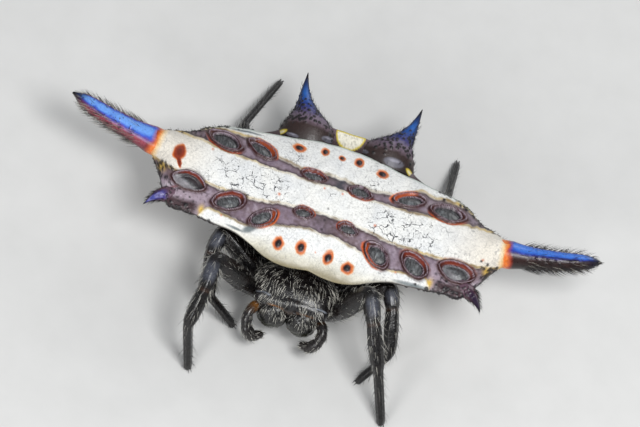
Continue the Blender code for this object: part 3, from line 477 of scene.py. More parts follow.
# Granules stand on the dark bands, the corners and the walls; the white stays smooth and rolling.
rough_zone = np.clip(band * (0.35 + 0.65 * ease(3.8, 4.4, near)) + wall_mask + below, 0, 1) * quiet
relief += 0.018 * cloud * (1 - band) + 0.012 * speckle(x, back, 0.3, 15)
relief -= 0.035 * band * quiet * ease(4.6, 3.9, near)
skin_points = tilted(shell) + outward(plain) * (relief * ease(6.19, 6.0, near))[..., None]
rimward = swell(top_turn, -0.40, 0.30) + swell(top_turn, 4.15, 0.30)
rimward = rimward * ease(3.0, 4.4, near) * ease(6.1, 5.9, near)
rimward = rimward + 0.10 * ease(4.1, 4.3, near) * (back < -1.4)
rimward = rimward + 0.6 * swell(near, 5.75, 0.2) * (back < -0.5)
spot, up, way, unwrapped, rng = scatter(plain, rimward, 380, 9)
width = rng.uniform(0.032, 0.060, 380)
skin_points, lift = knobs(skin_points, outward(plain), spot, width, width * 0.9)
colour = lay(colour, paint(22, 18, 22), ease(0.006, 0.016, lift) * 0.92)

# Fine dark cracks gather in patches of the white: first the two broad zones, then each patch.
white_zone = (1 - band) * (turns <= 4) * quiet
crackle_zone = white_zone * (
    0.22 + 0.9 * ease(0.9, 1.8, near) * ease(4.6, 3.2, near) * ease(0.4, 0.0, back) * ease(-1.1, -0.8, back)
    + 0.5 * ease(0.6, 1.4, near) * ease(0.6, 0.9, back) * ease(1.2, 0.95, back))
for sx, sb, wide in ((2.1, -.2, .22), (3.4, .05, .15), (-4.1, -.3, .18), (0.02, .1, .14), (-2.4, .33, .16),
                     (-1.7, -.12, .35), (-1.35, .08, .2), (2.6, .12, .3), (1.25, .8, .2), (-1.3, .9, .2)):
    patch = np.exp(-((x - sx) ** 2 + (back - sb) ** 2) / wide ** 2)
    crackle_zone = np.maximum(crackle_zone, white_zone * 1.2 * patch)


def fresh(name):
    """An empty node material, its node tree and its Principled shader, wired to the output."""
    made = bpy.data.materials.new(name)
    made.use_nodes = True
    tree = made.node_tree
    tree.nodes.clear()
    shader = tree.nodes.new("ShaderNodeBsdfPrincipled")
    out = tree.nodes.new("ShaderNodeOutputMaterial")
    tree.links.new(shader.outputs["BSDF"], out.inputs["Surface"])
    return made, tree, shader


def add(tree, kind, links=(), **values):
    """A node with its settings; links gives (input, where it comes from) pairs."""
    node = tree.nodes.new("ShaderNode" + kind)
    for key, value in values.items():
        if key in node.bl_rna.properties:
            setattr(node, key, value)
        else:
            node.inputs[key.replace("_", " ")].default_value = value
    for key, source in links:
        tree.links.new(source, node.inputs[key])
    return node


def effect(name, inputs, outputs):
    """An empty shader node group with named sockets: the group, what it is given, what it puts out."""
    made = bpy.data.node_groups.new(name, "ShaderNodeTree")
    for way, sockets in (("INPUT", inputs), ("OUTPUT", outputs)):
        for socket, kind in sockets.items():
            made.interface.new_socket(socket, in_out=way, socket_type="NodeSocket" + kind)
    return made, made.nodes.new("NodeGroupInput").outputs, made.nodes.new("NodeGroupOutput").inputs


# Mottling, of cuticle and of hair: the colour darker and lighter by a noise, and its gloss with it.
mottling, given, result = effect(
    "mottling",
    {"Place": "Vector", "Colour": "Color", "Scale": "Float", "Detail": "Float", "Harshness": "Float",
     "Low": "Float", "High": "Float", "Darkest": "Float", "Lightest": "Float",
     "Glossiest": "Float", "Dullest": "Float"},
    {"Colour": "Color", "Roughness": "Float"})
cloudiness = add(mottling, "TexNoise", [("Vector", given["Place"]), ("Scale", given["Scale"]),
                                        ("Detail", given["Detail"]), ("Roughness", given["Harshness"])])
shade = add(mottling, "MapRange", [("Value", cloudiness.outputs["Fac"]), ("From Min", given["Low"]),
                                   ("From Max", given["High"]), ("To Min", given["Darkest"]),
                                   ("To Max", given["Lightest"])])
tinted = add(mottling, "VectorMath", [(0, given["Colour"]), ("Scale", shade.outputs["Result"])],
             operation="SCALE")
worn = add(mottling, "MapRange", [("Value", cloudiness.outputs["Fac"]), ("To Min", given["Glossiest"]),
                                  ("To Max", given["Dullest"])], From_Min=0.3, From_Max=0.7)
mottling.links.new(tinted.outputs["Vector"], result["Colour"])
mottling.links.new(worn.outputs["Result"], result["Roughness"])

# Granules and wrinkles, of every cuticle: a height from rounded cells where Zone is 1, plus a noise.
graining, given, result = effect("graining", {"Place": "Vector", "Zone": "Float", "Scale": "Float"},
                                 {"Height": "Float"})
grains = add(graining, "TexVoronoi", [("Vector", given["Place"]), ("Scale", given["Scale"])], feature="F1")
knob = add(graining, "MapRange", [("Value", grains.outputs["Distance"])],
           From_Min=0.0, From_Max=0.42, To_Min=1.0, To_Max=0.0)
picked = add(graining, "Math", [(0, knob.outputs["Result"]), (1, given["Zone"])], operation="MULTIPLY")
wrinkles = add(graining, "TexNoise", [("Vector", given["Place"])], Scale=30000.0, Detail=3.0)
height = add(graining, "Math", [(0, picked.outputs[0]), (1, wrinkles.outputs["Fac"])], operation="ADD")
graining.links.new(height.outputs[0], result["Height"])


def crackled(tree, place, colour_out):
    """Dark cracks over a colour: the edges of bent cells, in patches, and specks, where Crackle is."""
    where = add(tree, "Attribute", attribute_name="Crackle").outputs["Fac"]
    bent = add(tree, "TexNoise", [("Vector", place)], Scale=6400.0, Detail=2.0, Roughness=0.5)
    bend = add(tree, "VectorMath", [(0, bent.outputs["Color"])], operation="SCALE", Scale=0.00019)
    moved = add(tree, "VectorMath", [(0, place), (1, bend.outputs["Vector"])], operation="ADD")
    cells = add(tree, "TexVoronoi", [("Vector", moved.outputs["Vector"])],
                feature="DISTANCE_TO_EDGE", Scale=2900.0)
    line = add(tree, "MapRange", [("Value", cells.outputs["Distance"])],
               From_Min=0.014, From_Max=0.044, To_Min=1.0, To_Max=0.0)
    patches = add(tree, "TexNoise", [("Vector", place)], Scale=3200.0, Detail=3.0)
    some = add(tree, "MapRange", [("Value", patches.outputs["Fac"])], From_Min=0.47, From_Max=0.53)
    dots = add(tree, "TexNoise", [("Vector", place)], Scale=24000.0, Detail=2.0, Roughness=0.4)
    dot = add(tree, "MapRange", [("Value", dots.outputs["Fac"])], From_Min=0.65, From_Max=0.72)
    seen = add(tree, "Math", [(0, line.outputs["Result"]), (1, some.outputs["Result"])],
               operation="MULTIPLY")
    seen = add(tree, "Math", [(0, seen.outputs[0]), (1, dot.outputs["Result"])], operation="MAXIMUM")
    seen = add(tree, "Math", [(0, seen.outputs[0]), (1, where)], operation="MULTIPLY", use_clamp=True)
    inked = add(tree, "Mix", [(0, seen.outputs[0]), (6, colour_out)], data_type="RGBA")
    inked.inputs[7].default_value = (*paint(54, 56, 62), 1.0)
    return inked.outputs[2]


def cuticle(name, roughness, coat, cracks=False, grain=9000.0, depth=0.000012):
    """Painted cuticle: colour from the mesh, mottled, with granules and fine wrinkles as bump."""
    made, tree, shader = fresh(name)
    place = add(tree, "TexCoord").outputs["Object"]
    base = add(tree, "Attribute", attribute_name="Colour").outputs["Color"]
    zone = add(tree, "Attribute", attribute_name="Granules").outputs["Fac"]
    mottled = add(tree, "Group", [("Place", place), ("Colour", base)], node_tree=mottling,
                  Scale=14000.0, Detail=5.0, Harshness=0.65, Low=0.25, High=0.75, Darkest=0.74,
                  Lightest=1.16, Glossiest=roughness - 0.08, Dullest=roughness + 0.12)
    colour_out = mottled.outputs["Colour"]
    if cracks:
        colour_out = crackled(tree, place, colour_out)
    tree.links.new(colour_out, shader.inputs["Base Color"])
    tree.links.new(mottled.outputs["Roughness"], shader.inputs["Roughness"])
    grained = add(tree, "Group", [("Place", place), ("Zone", zone)], node_tree=graining, Scale=grain)
    bump = add(tree, "Bump", [("Height", grained.outputs["Height"])], Strength=0.6, Distance=depth)
    tree.links.new(bump.outputs["Normal"], shader.inputs["Normal"])
    shader.inputs["Specular IOR Level"].default_value = 0.38
    shader.inputs["Coat Weight"].default_value = coat
    shader.inputs["Coat Roughness"].default_value = 0.16
    return made


abdomen = skin("abdomen_skin", skin_points, cuticle("painted_plate", 0.38, 0.12, cracks=True),
               Colour=colour, Granules=rough_zone, Crackle=crackle_zone)
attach(abdomen, "root")
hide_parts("abdomen")

# Posterior spines: two hollow horns of the same shell behind the plate, flared towards each other at
# the foot, set with black granules and short hairs, maroon to mauve below and cobalt to the point.
POSTERIOR_FOOT, POSTERIOR_TIP = np.array([2.50, -0.92]), np.array([4.76, 0.05])
POSTERIOR_FLARE = [(0.0, 1.42, 1.02), (0.12, 1.40, 0.98), (0.26, 1.38, 0.87), (0.36, 1.45, 0.70),
                   (0.45, 1.58, 0.50), (0.55, 1.73, 0.34), (0.69, 1.88, 0.19), (0.83, 1.96, 0.10),
                   (1.0, 2.02, 0.012)]
# Shallow grey dimples by the feet, each with a painted highlight: x, distance back, half length, half
# width.
DIMPLES = [(-.68, 1.84, .24, .11), (-1.88, 1.62, .22, .07), (.56, 1.84, .17, .07), (1.64, 1.78, .36, .16)]
NIGHT = paint(14, 18, 44)
BRISTLE_DARK = paint(26, 22, 24)


def blend_stops(stops, at):
    """A colour ramp: the colours of the stops (place, colour) mixed evenly between their places."""
    places = [stop[0] for stop in stops]
    return np.stack([np.interp(at, places, [stop[1][k] for stop in stops]) for k in range(3)], -1)


def hairs(name, roots, lean, droop, length, width, tone, unwrapped, finish):
    """Tapered hairs: root + lean * length * t + droop * length * t squared, three-sided, to a point.

    tone is one colour, or one for each hair.
    """
    t = np.array([0.0, 0.3, 0.62, 1.0])
    thick = np.array([1.0, 0.85, 0.52, 0.06])
    lean = lean / np.linalg.norm(lean, axis=1)[:, None]
    path = (roots[:, None] + (lean[:, None] * t[:, None] + droop[:, None] * (t ** 2)[:, None])
            * length[:, None, None])
    side = np.cross(lean, [0.31, 0.17, 0.93])
    side /= np.linalg.norm(side, axis=1)[:, None] + 1e-9
    other = np.cross(lean, side)
    angle = 2 * np.pi * np.arange(3) / 3
    ring = side[:, None] * np.cos(angle)[:, None] + other[:, None] * np.sin(angle)[:, None]
    points = path[:, :, None] + ring[:, None] * (width[:, None] * thick)[..., None, None]
    n = len(roots)
    one = [[3 * k + m, 3 * k + (m + 1) % 3, 3 * k + 3 + (m + 1) % 3, 3 * k + 3 + m]
           for k in range(3) for m in range(3)]
    quads = (np.arange(n)[:, None, None] * 12 + np.array(one)).reshape(-1, 4)
    caps = (np.arange(n)[:, None, None] * 12 + np.array([[2, 1, 0], [9, 10, 11]])).reshape(-1, 3)
    mesh = bpy.data.meshes.new(name)
    mesh.from_pydata((points.reshape(-1, 3) * MM + SHIFT).tolist(), [], quads.tolist() + caps.tolist())
    layer = mesh.attributes.new("Colour", "FLOAT_COLOR", "POINT")
    tone = np.broadcast_to(tone, (n, 3))
    shade = np.broadcast_to(tone[:, None, None], (n, 4, 3, 3)).reshape(-1, 3)
    layer.data.foreach_set("color", np.hstack([shade, np.ones((len(shade), 1))]).ravel())
    patch = np.stack(np.meshgrid(t - 0.5, np.array([-0.5, 0.0, 0.5]), indexing="ij"), -1) * 0.003
    bake = (np.clip(unwrapped, 0.002, 0.998)[:, None, None] + patch).reshape(-1, 2)
    corners = np.empty(len(mesh.loops), int)
    mesh.loops.foreach_get("vertex_index", corners)
    mesh.uv_layers.new(name="OFBake").data.foreach_set("uv", bake[corners].ravel())
    mesh.shade_smooth()
    mesh.materials.append(finish)
    made = bpy.data.objects.new(name, mesh)
    bpy.context.scene.collection.objects.link(made)
    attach(made, "root")
    return made


def bristle_finish(name, roughness):
    """Hair: the colour set on each hair, lighter and darker by fine noise, with a low gloss."""
    made, tree, shader = fresh(name)
    place = add(tree, "TexCoord").outputs["Object"]
    base = add(tree, "Attribute", attribute_name="Colour").outputs["Color"]
    mottled = add(tree, "Group", [("Place", place), ("Colour", base)], node_tree=mottling,
                  Scale=9000.0, Detail=2.0, Harshness=0.5, Low=0.3, High=0.7, Darkest=0.75, Lightest=1.2)
    tree.links.new(mottled.outputs["Colour"], shader.inputs["Base Color"])
    shader.inputs["Roughness"].default_value = roughness
    return made


dull_spine = cuticle("granular_spine", 0.44, 0.08, grain=11000.0, depth=0.000010)
bristles = bristle_finish("bristle", 0.45)
for side, name in ((1, "left"), (-1, "right")):
    share = np.linspace(0.0, 1.0, 120) ** 0.92
    flare = smooth_line(POSTERIOR_FLARE, share)
    wide = np.maximum(flare[:, 1], 0.010)
    tall = wide * (0.62 + 0.38 * np.minimum(share * 1.6, 1.0))
    axis = POSTERIOR_FOOT + (POSTERIOR_TIP - POSTERIOR_FOOT) * share[:, None]
    along = (POSTERIOR_TIP - POSTERIOR_FOOT) / np.linalg.norm(POSTERIOR_TIP - POSTERIOR_FOOT)
    angle = 2 * np.pi * np.arange(180) / 180
    rise = tall[:, None] * np.sin(angle)
    local = np.stack([side * (flare[:, 0][:, None] + wide[:, None] * np.cos(angle)),
                      axis[:, 0][:, None] - along[1] * rise, axis[:, 1][:, None] + along[0] * rise], 2)
    points = tilted(local)
    s = np.broadcast_to(share[:, None], points.shape[:2])
    a = np.broadcast_to(angle, s.shape)
    spot, up, way, unwrapped, rng = scatter(points, ease(0.20, 0.28, s) * ease(0.98, 0.55, s)
                                            * (0.6 + np.abs(np.cos(a))) + 0.03, 250, 20 + side)
    width = rng.uniform(0.040, 0.064, 250) * np.clip(1.35 - unwrapped[:, 0], 0.4, 1.0)
    made_points, lift = knobs(points, outward(points), spot, width, width * 0.75)
    cloudy = speckle(s * 9, a * 2, 0.5, 3) * 0.5 + speckle(s * 9, a * 2, 0.2, 4) * 0.5
    tones = [(0.0, paint(38, 28, 26)), (0.22, paint(48, 33, 31)), (0.27, paint(92, 76, 86)),
             (0.38, paint(106, 92, 112)), (0.45, paint(58, 54, 104)), (0.54, paint(26, 50, 118)),
             (0.70, paint(30, 88, 164)), (0.82, paint(20, 46, 98)), (0.93, INK), (1.0, INK)]
    tint = blend_stops(tones, s + 0.025 * cloudy)
    tint = lay(tint, NIGHT, ease(0.30, 0.90, np.abs(np.cos(a)) + 0.12 * cloudy) * ease(0.4, 0.6, s) * 0.75)
    plan = set_back(local)
    upper = ease(-0.1, 0.3, np.sin(a))
    for px, pb, half_long, half_wide in DIMPLES:
        oval = np.hypot((points[..., 0] - px) / half_long, (plan - pb) / half_wide)
        tint = lay(tint, paint(88, 86, 96), ease(1.1, 0.85, oval) * upper)
        # Painted highlight: a pale glint in the back half of each dimple, on its upper side.
        dimple_highlight = np.hypot((points[..., 0] - px) / half_long,
                         (plan - pb - 0.4 * half_wide) / (0.6 * half_wide))
        tint = lay(tint, paint(150, 148, 160), ease(0.8, 0.2, dimple_highlight) * upper * 0.7)
    outer_x, rear_y = np.abs(points[..., 0]) - 2.25, plan - 1.61
    gold = np.hypot((0.8 * outer_x - 0.6 * rear_y) / 0.19, (0.6 * outer_x + 0.8 * rear_y) / 0.075)
    tint = lay(tint, paint(196, 176, 62), ease(1.15, 0.8, gold + 0.1 * cloudy))
    tint = lay(tint, paint(232, 226, 190), ease(0.75, 0.3, gold) * 0.8)
    tint = lay(tint, INK, ease(0.010, 0.018, lift) * 0.95)
    horn = skin("posterior_spine_" + name, made_points, dull_spine, Colour=tint, Granules=0.3)
    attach(horn, "root")
    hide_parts("spine_posterior_" + name)
    spot, up, way, unwrapped, rng = scatter(points, ease(0.02, 0.1, s) * ease(0.95, 0.6, s)
                                            * (0.2 + np.abs(np.cos(a)) ** 2), 260, 30 + side)
    hairs("posterior_bristles_" + name, spot - up * 0.02, up * 0.8 + way * 0.7, way * 0.25,
          rng.uniform(0.10, 0.20, 260), rng.uniform(0.006, 0.010, 260),
          BRISTLE_DARK, unwrapped, bristles)

# Anterior spines: a short hollow horn of the same shell at each front corner of the plate, grown out
# from under the rim, near black with a maroon foot. The right one has a painted blue-violet sheen on top.
ANTERIOR_FOOT, ANTERIOR_TIP = np.array([4.66, -1.36, -0.56]), np.array([5.87, -2.33, -0.42])
ANTERIOR_PROFILE = [(0.0, 0.10), (0.12, 0.20), (0.28, 0.27), (0.42, 0.25), (0.55, 0.20), (0.75, 0.11),
                    (1.0, 0.012)]


def carried(path):
    """Unit tangents of a path, and two unit vectors square to each, carried along without twist."""
    path = np.asarray(path, float)
    legs = np.diff(path, axis=0)
    legs /= np.linalg.norm(legs, axis=1)[:, None]
    tangent = np.vstack([legs[:1], legs[:-1] + legs[1:], legs[-1:]])
    tangent /= np.linalg.norm(tangent, axis=1)[:, None]
    across = np.cross(tangent[0], (0.0, 0.0, 1.0))
    across = across if np.linalg.norm(across) > 0.1 else np.cross(tangent[0], (0.0, 1.0, 0.0))
    sides = []
    for t in tangent:
        across = across - t * np.dot(across, t)
        across = across / np.linalg.norm(across)
        sides.append(across)
    sides = np.array(sides)
    return tangent, sides, np.cross(sides, tangent)


def tube(path, radii, sides, level_foot=False):
    """Round sections of the given radii, square to the path; the last may lie level on the floor."""
    tangent, across, up = carried(path)
    if level_foot:
        tangent[-1] = (0.0, 0.0, -1.0)
        across[-1] = across[-1] * (1.0, 1.0, 0.0) / np.linalg.norm(across[-1][:2])
        up[-1] = np.cross(across[-1], tangent[-1])
    angle = 2 * np.pi * np.arange(sides) / sides
    ring = across[:, None] * np.cos(angle)[:, None] + up[:, None] * np.sin(angle)[:, None]
    return np.asarray(path)[:, None] + ring * np.asarray(radii)[:, None, None]


spine_finish = cuticle("spine_cuticle", 0.30, 0.16, grain=11000.0, depth=0.000010)
for side, name in ((1, "left"), (-1, "right")):
    share = np.linspace(0.0, 1.0, 90)
    foot, tip = (ANTERIOR_FOOT - (0, 0, 0.06)) * (side, 1, 1), ANTERIOR_TIP * (side, 1, 1)
    radii = np.maximum(smooth_line(ANTERIOR_PROFILE, share)[:, 0], 0.010)
    bow = np.array([0.13 * side, 0.20, 0.0]) * np.sin(np.pi * share[:, None])
    points = tilted(tube(foot + (tip - foot) * share[:, None] + bow, radii, 64))
    s = np.broadcast_to(share[:, None], points.shape[:2])
    normal = outward(points)
    spot, up, way, unwrapped, rng = scatter(points, ease(0.8, 0.4, s), 90, 40 + side)
    width = rng.uniform(0.025, 0.045, 90)
    made_points, lift = knobs(points, normal, spot, width, width * 0.7)
    top = normal[..., 2] * 0.85 - normal[..., 1] * 0.5
    streaked = speckle(s * 7, top * 4, 0.5, 19)
    tint = blend_stops([(0.0, paint(112, 92, 106)), (0.42, paint(92, 66, 80)), (0.58, paint(66, 32, 42)),
                        (0.78, paint(44, 26, 44)), (1.0, INK)], s + 0.12 * (top - 0.5) + 0.03 * streaked)
    # Painted sheen: streaked blue-violet light along the upward faces of the right horn, dark violet on the
    # left one.
    sheen = ease(0.45, 0.95, top + 0.15 * streaked) * ease(0.36, 0.62, s) * ease(1.0, 0.88, s)
    gleam = lay(paint(66, 76, 164), paint(118, 116, 172), ease(0.1, 0.6, streaked))
    tint = lay(tint, gleam if side < 0 else paint(40, 26, 52), sheen * 0.8)
    tint = lay(tint, INK, ease(0.008, 0.02, lift) * 0.9)
    horn = skin("anterior_spine_" + name, made_points, spine_finish, Colour=tint, Granules=0.3)
    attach(horn, "root")
    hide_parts("spine_anterior_" + name)
    spot, up, way, unwrapped, rng = scatter(points, ease(0.4, 0.55, s) * ease(0.98, 0.7, s)
                                            * ease(0.7, 0.2, top), 130, 50 + side)
    hairs("anterior_bristles_" + name, spot - up * 0.02, up * 0.7 + way * 0.9, way * 0.3,
          rng.uniform(0.10, 0.22, 130), rng.uniform(0.007, 0.011, 130),
          BRISTLE_DARK, unwrapped, bristles)

# Median spines: the two long blunt horns at the ends of the plate, each with a thorn for a point, a
# blue stripe on top of dark maroon (the cuticle's own blue, brightened on the upward faces as a painted
# sheen), and a brush of stiff bristles that lean to the tip.
SPINE_RADIUS = 0.475
MEDIAN_PROFILE = [(0.0, 1.0), (0.12, 0.87), (0.5, 0.70), (0.78, 0.55), (0.88, 0.42), (0.93, 0.26),
                  (1.0, 0.02)]
BRISTLE_PALE = paint(176, 172, 160)
SOLID_TOP = 3.74  # hairs reach little above the height of the solids
for side, name in ((1, "left"), (-1, "right")):
    share = np.linspace(-0.13, 1.0, 160)
    foot, tip = np.array([6.32 * side, 0.39, -0.45]), np.array([9.3 * side, 1.04, -0.15])
    path = foot + (tip - foot) * share[:, None]
    path[:, 1] -= 0.10 * np.sin(np.pi * share)
    radii = np.maximum(smooth_line(MEDIAN_PROFILE, np.maximum(share, 0.0))[:, 0], 0.02) * SPINE_RADIUS
    points = tilted(tube(path, radii, 72))
    s = np.broadcast_to(share[:, None], points.shape[:2])
    normal = outward(points)
    spot, up, way, unwrapped, rng = scatter(points, ease(0.15, 0.3, s), 150, 60 + side)
    width = rng.uniform(0.018, 0.034, 150)
    made_points, lift = knobs(points, normal, spot, width, width * 0.8)
    # The colour follows which way the skin faces: the cuticle's own maroon and blue, with the blue
    # brightened towards the upward faces as a painted sheen.
    facing = normal[..., 2] if side < 0 else normal[..., 2] * 0.95 + normal[..., 1] * 0.31
    cloudy = speckle(s * 8, facing * 2, 0.4, 6)
    if side > 0:
        stops = [(-0.2, paint(26, 18, 16)), (0.60, paint(48, 26, 24)), (0.78, paint(50, 30, 72)),
                 (0.88, paint(30, 56, 156)), (0.98, paint(54, 112, 206))]
    else:
        stops = [(-0.2, paint(84, 30, 40)), (0.55, paint(146, 58, 76)), (0.76, paint(100, 60, 136)),
                 (0.88, paint(52, 86, 196)), (0.98, paint(106, 156, 230))]
    tint = blend_stops(stops, facing + 0.05 * cloudy)
    tint = lay(tint, NIGHT, ease(0.78, 0.93, s) * 0.85)
    tint = lay(tint, INK, ease(0.9, 0.98, s))
    ring = s + 0.012 * cloudy + 0.03 * ease(0.5, 0.9, facing)
    tint = lay(tint, MAROON, ease(0.05, 0.01, ring) * 0.6 * ease(0.85, 0.6, facing))
    tint = lay(tint, paint(160, 58, 34), ease(0.035, -0.02, ring))
    tint = lay(tint, paint(218, 116, 44), ease(0.0, -0.05, ring))
    tint = lay(tint, INK, ease(0.008, 0.018, lift) * 0.85)
    horn = skin("median_spine_" + name, made_points, spine_finish, Colour=tint, Granules=0.2)
    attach(horn, "root")
    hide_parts("spine_median_" + name)
    count = 680
    bare = 1.0 - 0.95 * ease(0.78, 0.92, facing)
    spot, up, way, unwrapped, rng = scatter(points, ease(0.06, 0.2, s) * bare, count, 70 + side)
    pale = (rng.random(count) < (0.5 if side < 0 else 0.12)) * rng.uniform(0.5, 1.0, count)
    stand = rng.uniform(0.5, 1.2, count)
    longest = 0.05 + np.maximum(SOLID_TOP - spot[:, 2], 0.0) / np.maximum(up[:, 2] * stand / 1.4, 0.2)
    hairs("median_bristles_" + name, spot - up * 0.02, up * stand[:, None] + way, way * 0.3,
          np.minimum(rng.uniform(0.20, 0.40, count) * ease(1.15, 0.7, unwrapped[:, 0]), longest),
          rng.uniform(0.006, 0.010, count), lay(BRISTLE_DARK, BRISTLE_PALE, pale), unwrapped, bristles)

# Rim bristles: short dark hairs of stiff cuticle, rooted in the rim of the plate. They fringe its
# corners and the foot of each median spine.
fringe = swell(top_turn, -0.35, 0.25) + swell(top_turn, 4.15, 0.25)
fringe = fringe * ease(3.6, 4.6, near) * ease(6.15, 6.0, near)
fringe = fringe + 0.5 * swell(near, 5.8, 0.2) * (back < -0.5)
spot, up, way, unwrapped, rng = scatter(plain, fringe, 240, 77)
away = np.sign(spot[:, :1]) * np.array([0.5, 0.0, 0.0]) + up * 0.9
hairs("rim_bristles", spot - up * 0.02, away, -up * 0.1, rng.uniform(0.09, 0.20, 240),
      rng.uniform(0.005, 0.008, 240), BRISTLE_DARK, unwrapped, bristles)

# Front body: the black shield over the legs and the breastplate below, one hard shell, with a knob
# under the eyes of each side and rows of pale curved hairs combed down over the face.
PROSOMA_X = -0.17
PROSOMA = [(-3.74, .98, 2.00, 1.62), (-3.66, 1.14, 2.12, 1.42), (-3.40, 1.28, 2.27, 1.10),
           (-2.95, 1.40, 2.36, .90), (-2.40, 1.40, 2.20, .85), (-1.95, 1.15, 1.80, .88),
           (-1.55, .80, 1.42, .95), (-1.30, .45, 1.30, 1.02)]
row_y = -3.74 + 2.44 * np.linspace(0.0, 1.0, 110) ** 1.15
size = smooth_line(PROSOMA, row_y)
angle = 2 * np.pi * np.arange(120) / 120
c, s = np.cos(angle), np.sin(angle)
across = np.sign(c) * np.abs(c) ** 0.75 * np.where(s < 0, 1.0 - 0.30 * np.abs(s) ** 1.2, 1.0)
rise = np.sign(s) * np.abs(s) ** 0.8
brow = size[:, 2] + 0.55 * (size[:, 1] - size[:, 2])
points = np.stack([PROSOMA_X + size[:, :1] * across, np.broadcast_to(row_y[:, None], (110, 120)),
                   brow[:, None] + (size[:, 1] - brow)[:, None] * np.maximum(rise, 0)
                   + (brow - size[:, 2])[:, None] * np.minimum(rise, 0)], 2)
normal = outward(points)
lift = np.zeros(points.shape[:2])
for side in (1, -1):
    for bx, by, bz, wide, tall in ((1.12, -3.50, 2.02, .20, .10), (.15, -3.62, 2.16, .16, .05)):
        away = ((points - (PROSOMA_X + bx * side, by, bz)) ** 2).sum(2)
        lift += tall * np.exp(-away / wide ** 2)
hollow = np.exp(-((points[..., 0] - PROSOMA_X) / 0.10) ** 2 - ((points[..., 1] + 2.35) / 0.30) ** 2)
lift -= 0.07 * hollow * ease(0.2, 0.8, normal[..., 2])
for k in range(4):
    line = np.abs(points[..., 1] + 2.35 + 0.28 * k - 0.20 - 0.22 * np.abs(points[..., 0] - PROSOMA_X))
    lift -= 0.018 * swell(line, 0.0, 0.05) * ease(0.2, 0.7, normal[..., 2])
points = points + normal * lift[..., None]
high = ease(0.0, 0.6, normal[..., 2])
mottled = speckle(points[..., 0], points[..., 1], 0.2, 8)
tint = lay(paint(11, 10, 12), paint(30, 27, 27), 0.3 + 0.4 * mottled)
tint = lay(tint, paint(16, 15, 18), ease(-3.45, -3.62, points[..., 1]) * 0.7)
lower = 0.866 * points[..., 1] + 0.5 * (points[..., 2] - 3.5)
# Over each side pair of eyes: ink below the brow, and a painted highlight, a pale grey line along the
# ridge's top.
for low_x, high_x in ((-1.42, -0.92), (0.56, 1.04)):
    brow_side = ease(low_x - 0.04, low_x + 0.06, points[..., 0])
    brow_side = brow_side * ease(high_x + 0.04, high_x - 0.06, points[..., 0])
    tint = lay(tint, INK, brow_side * ease(-3.64, -3.70, lower) * 0.9)
    arched = lower + 3.665 + 0.5 * (points[..., 0] - (low_x + high_x) / 2) ** 2 + 0.015 * mottled
    ridge = brow_side * swell(arched, 0.0, 0.028)
    tint = lay(tint, paint(150, 156, 166), ridge * (0.6 + 0.5 * mottled))
for mid_x, wide in ((-0.66, 0.26), (0.36, 0.32)):
    amber = np.exp(-((points[..., 0] - mid_x) / wide) ** 4 - ((lower + 3.99) / 0.03) ** 2)
    tint = lay(tint, paint(140, 92, 44), amber * (0.45 + 0.4 * mottled))
dark_finish = cuticle("black_cuticle", 0.26, 0.25, grain=9000.0, depth=0.000014)
shield = skin("cephalothorax_skin", points, dark_finish, Colour=tint, Granules=0.9 * high + 0.1)
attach(shield, "root")
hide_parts("cephalothorax")
SETA = paint(236, 233, 222)
count = 950
weight = ease(-0.1, 0.4, normal[..., 2]) * ease(-3.72, -3.60, points[..., 1]) + 0.02
for side in (1, -1):
    for ex, ey, ez, bare, haired in ((1.17, -3.56, 2.06, 0.015, 0.06), (0.15, -3.62, 2.12, 0.01, 0.04)):
        near_eye = ((points - (PROSOMA_X + ex * side, ey, ez)) ** 2).sum(2)
        weight = weight * ease(bare, haired, near_eye)
spot, up, way, unwrapped, rng = scatter(points, weight, count, 81)
comb = np.stack([(spot[:, 0] - PROSOMA_X) * 0.35, np.full(count, -1.0), np.zeros(count)], 1)
comb -= up * (comb * up).sum(1)[:, None]
comb /= np.linalg.norm(comb, axis=1)[:, None]
pale = np.where(rng.random(count) < 0.75, 0.7 + 0.3 * rng.random(count), 0.1)
sway = 0.30 * np.sin(5 * spot[:, 1] + 9 * spot[:, 0]) + 0.12 * rng.standard_normal(count)
comb = comb + np.stack([sway, 0 * sway, 0 * sway], 1)
hairs("shield_setae", spot - up * 0.01, comb + up * rng.uniform(0.10, 0.24, count)[:, None], -up * 0.18,
      rng.uniform(0.22, 0.36, count), rng.uniform(0.006, 0.0085, count),
      lay(paint(20, 18, 18), SETA, pale), unwrapped, bristles)

# Eyes: eight small domes of clear cuticle, near black, four in the middle and two at each side. They
# are set in the front of the shield, and the solids' own domes carry the finish.
lens, tree, shader = fresh("eye_lens")
place = add(tree, "TexCoord").outputs["Object"]
glint = add(tree, "TexNoise", [("Vector", place)], Scale=6000.0, Detail=1.0)
dark = add(tree, "ValToRGB", [("Fac", glint.outputs["Fac"])])
dark.color_ramp.elements[0].color = (*paint(8, 8, 10), 1.0)
dark.color_ramp.elements[1].color = (*paint(34, 24, 20), 1.0)
tree.links.new(dark.outputs["Color"], shader.inputs["Base Color"])
shader.inputs["Roughness"].default_value = 0.06
shader.inputs["Coat Weight"].default_value = 1.0
shader.inputs["Coat Roughness"].default_value = 0.03
for node in list(bpy.context.scene.objects):
    if node.name.startswith("eye_"):
        for held in node.material_slots:
            held.material = lens

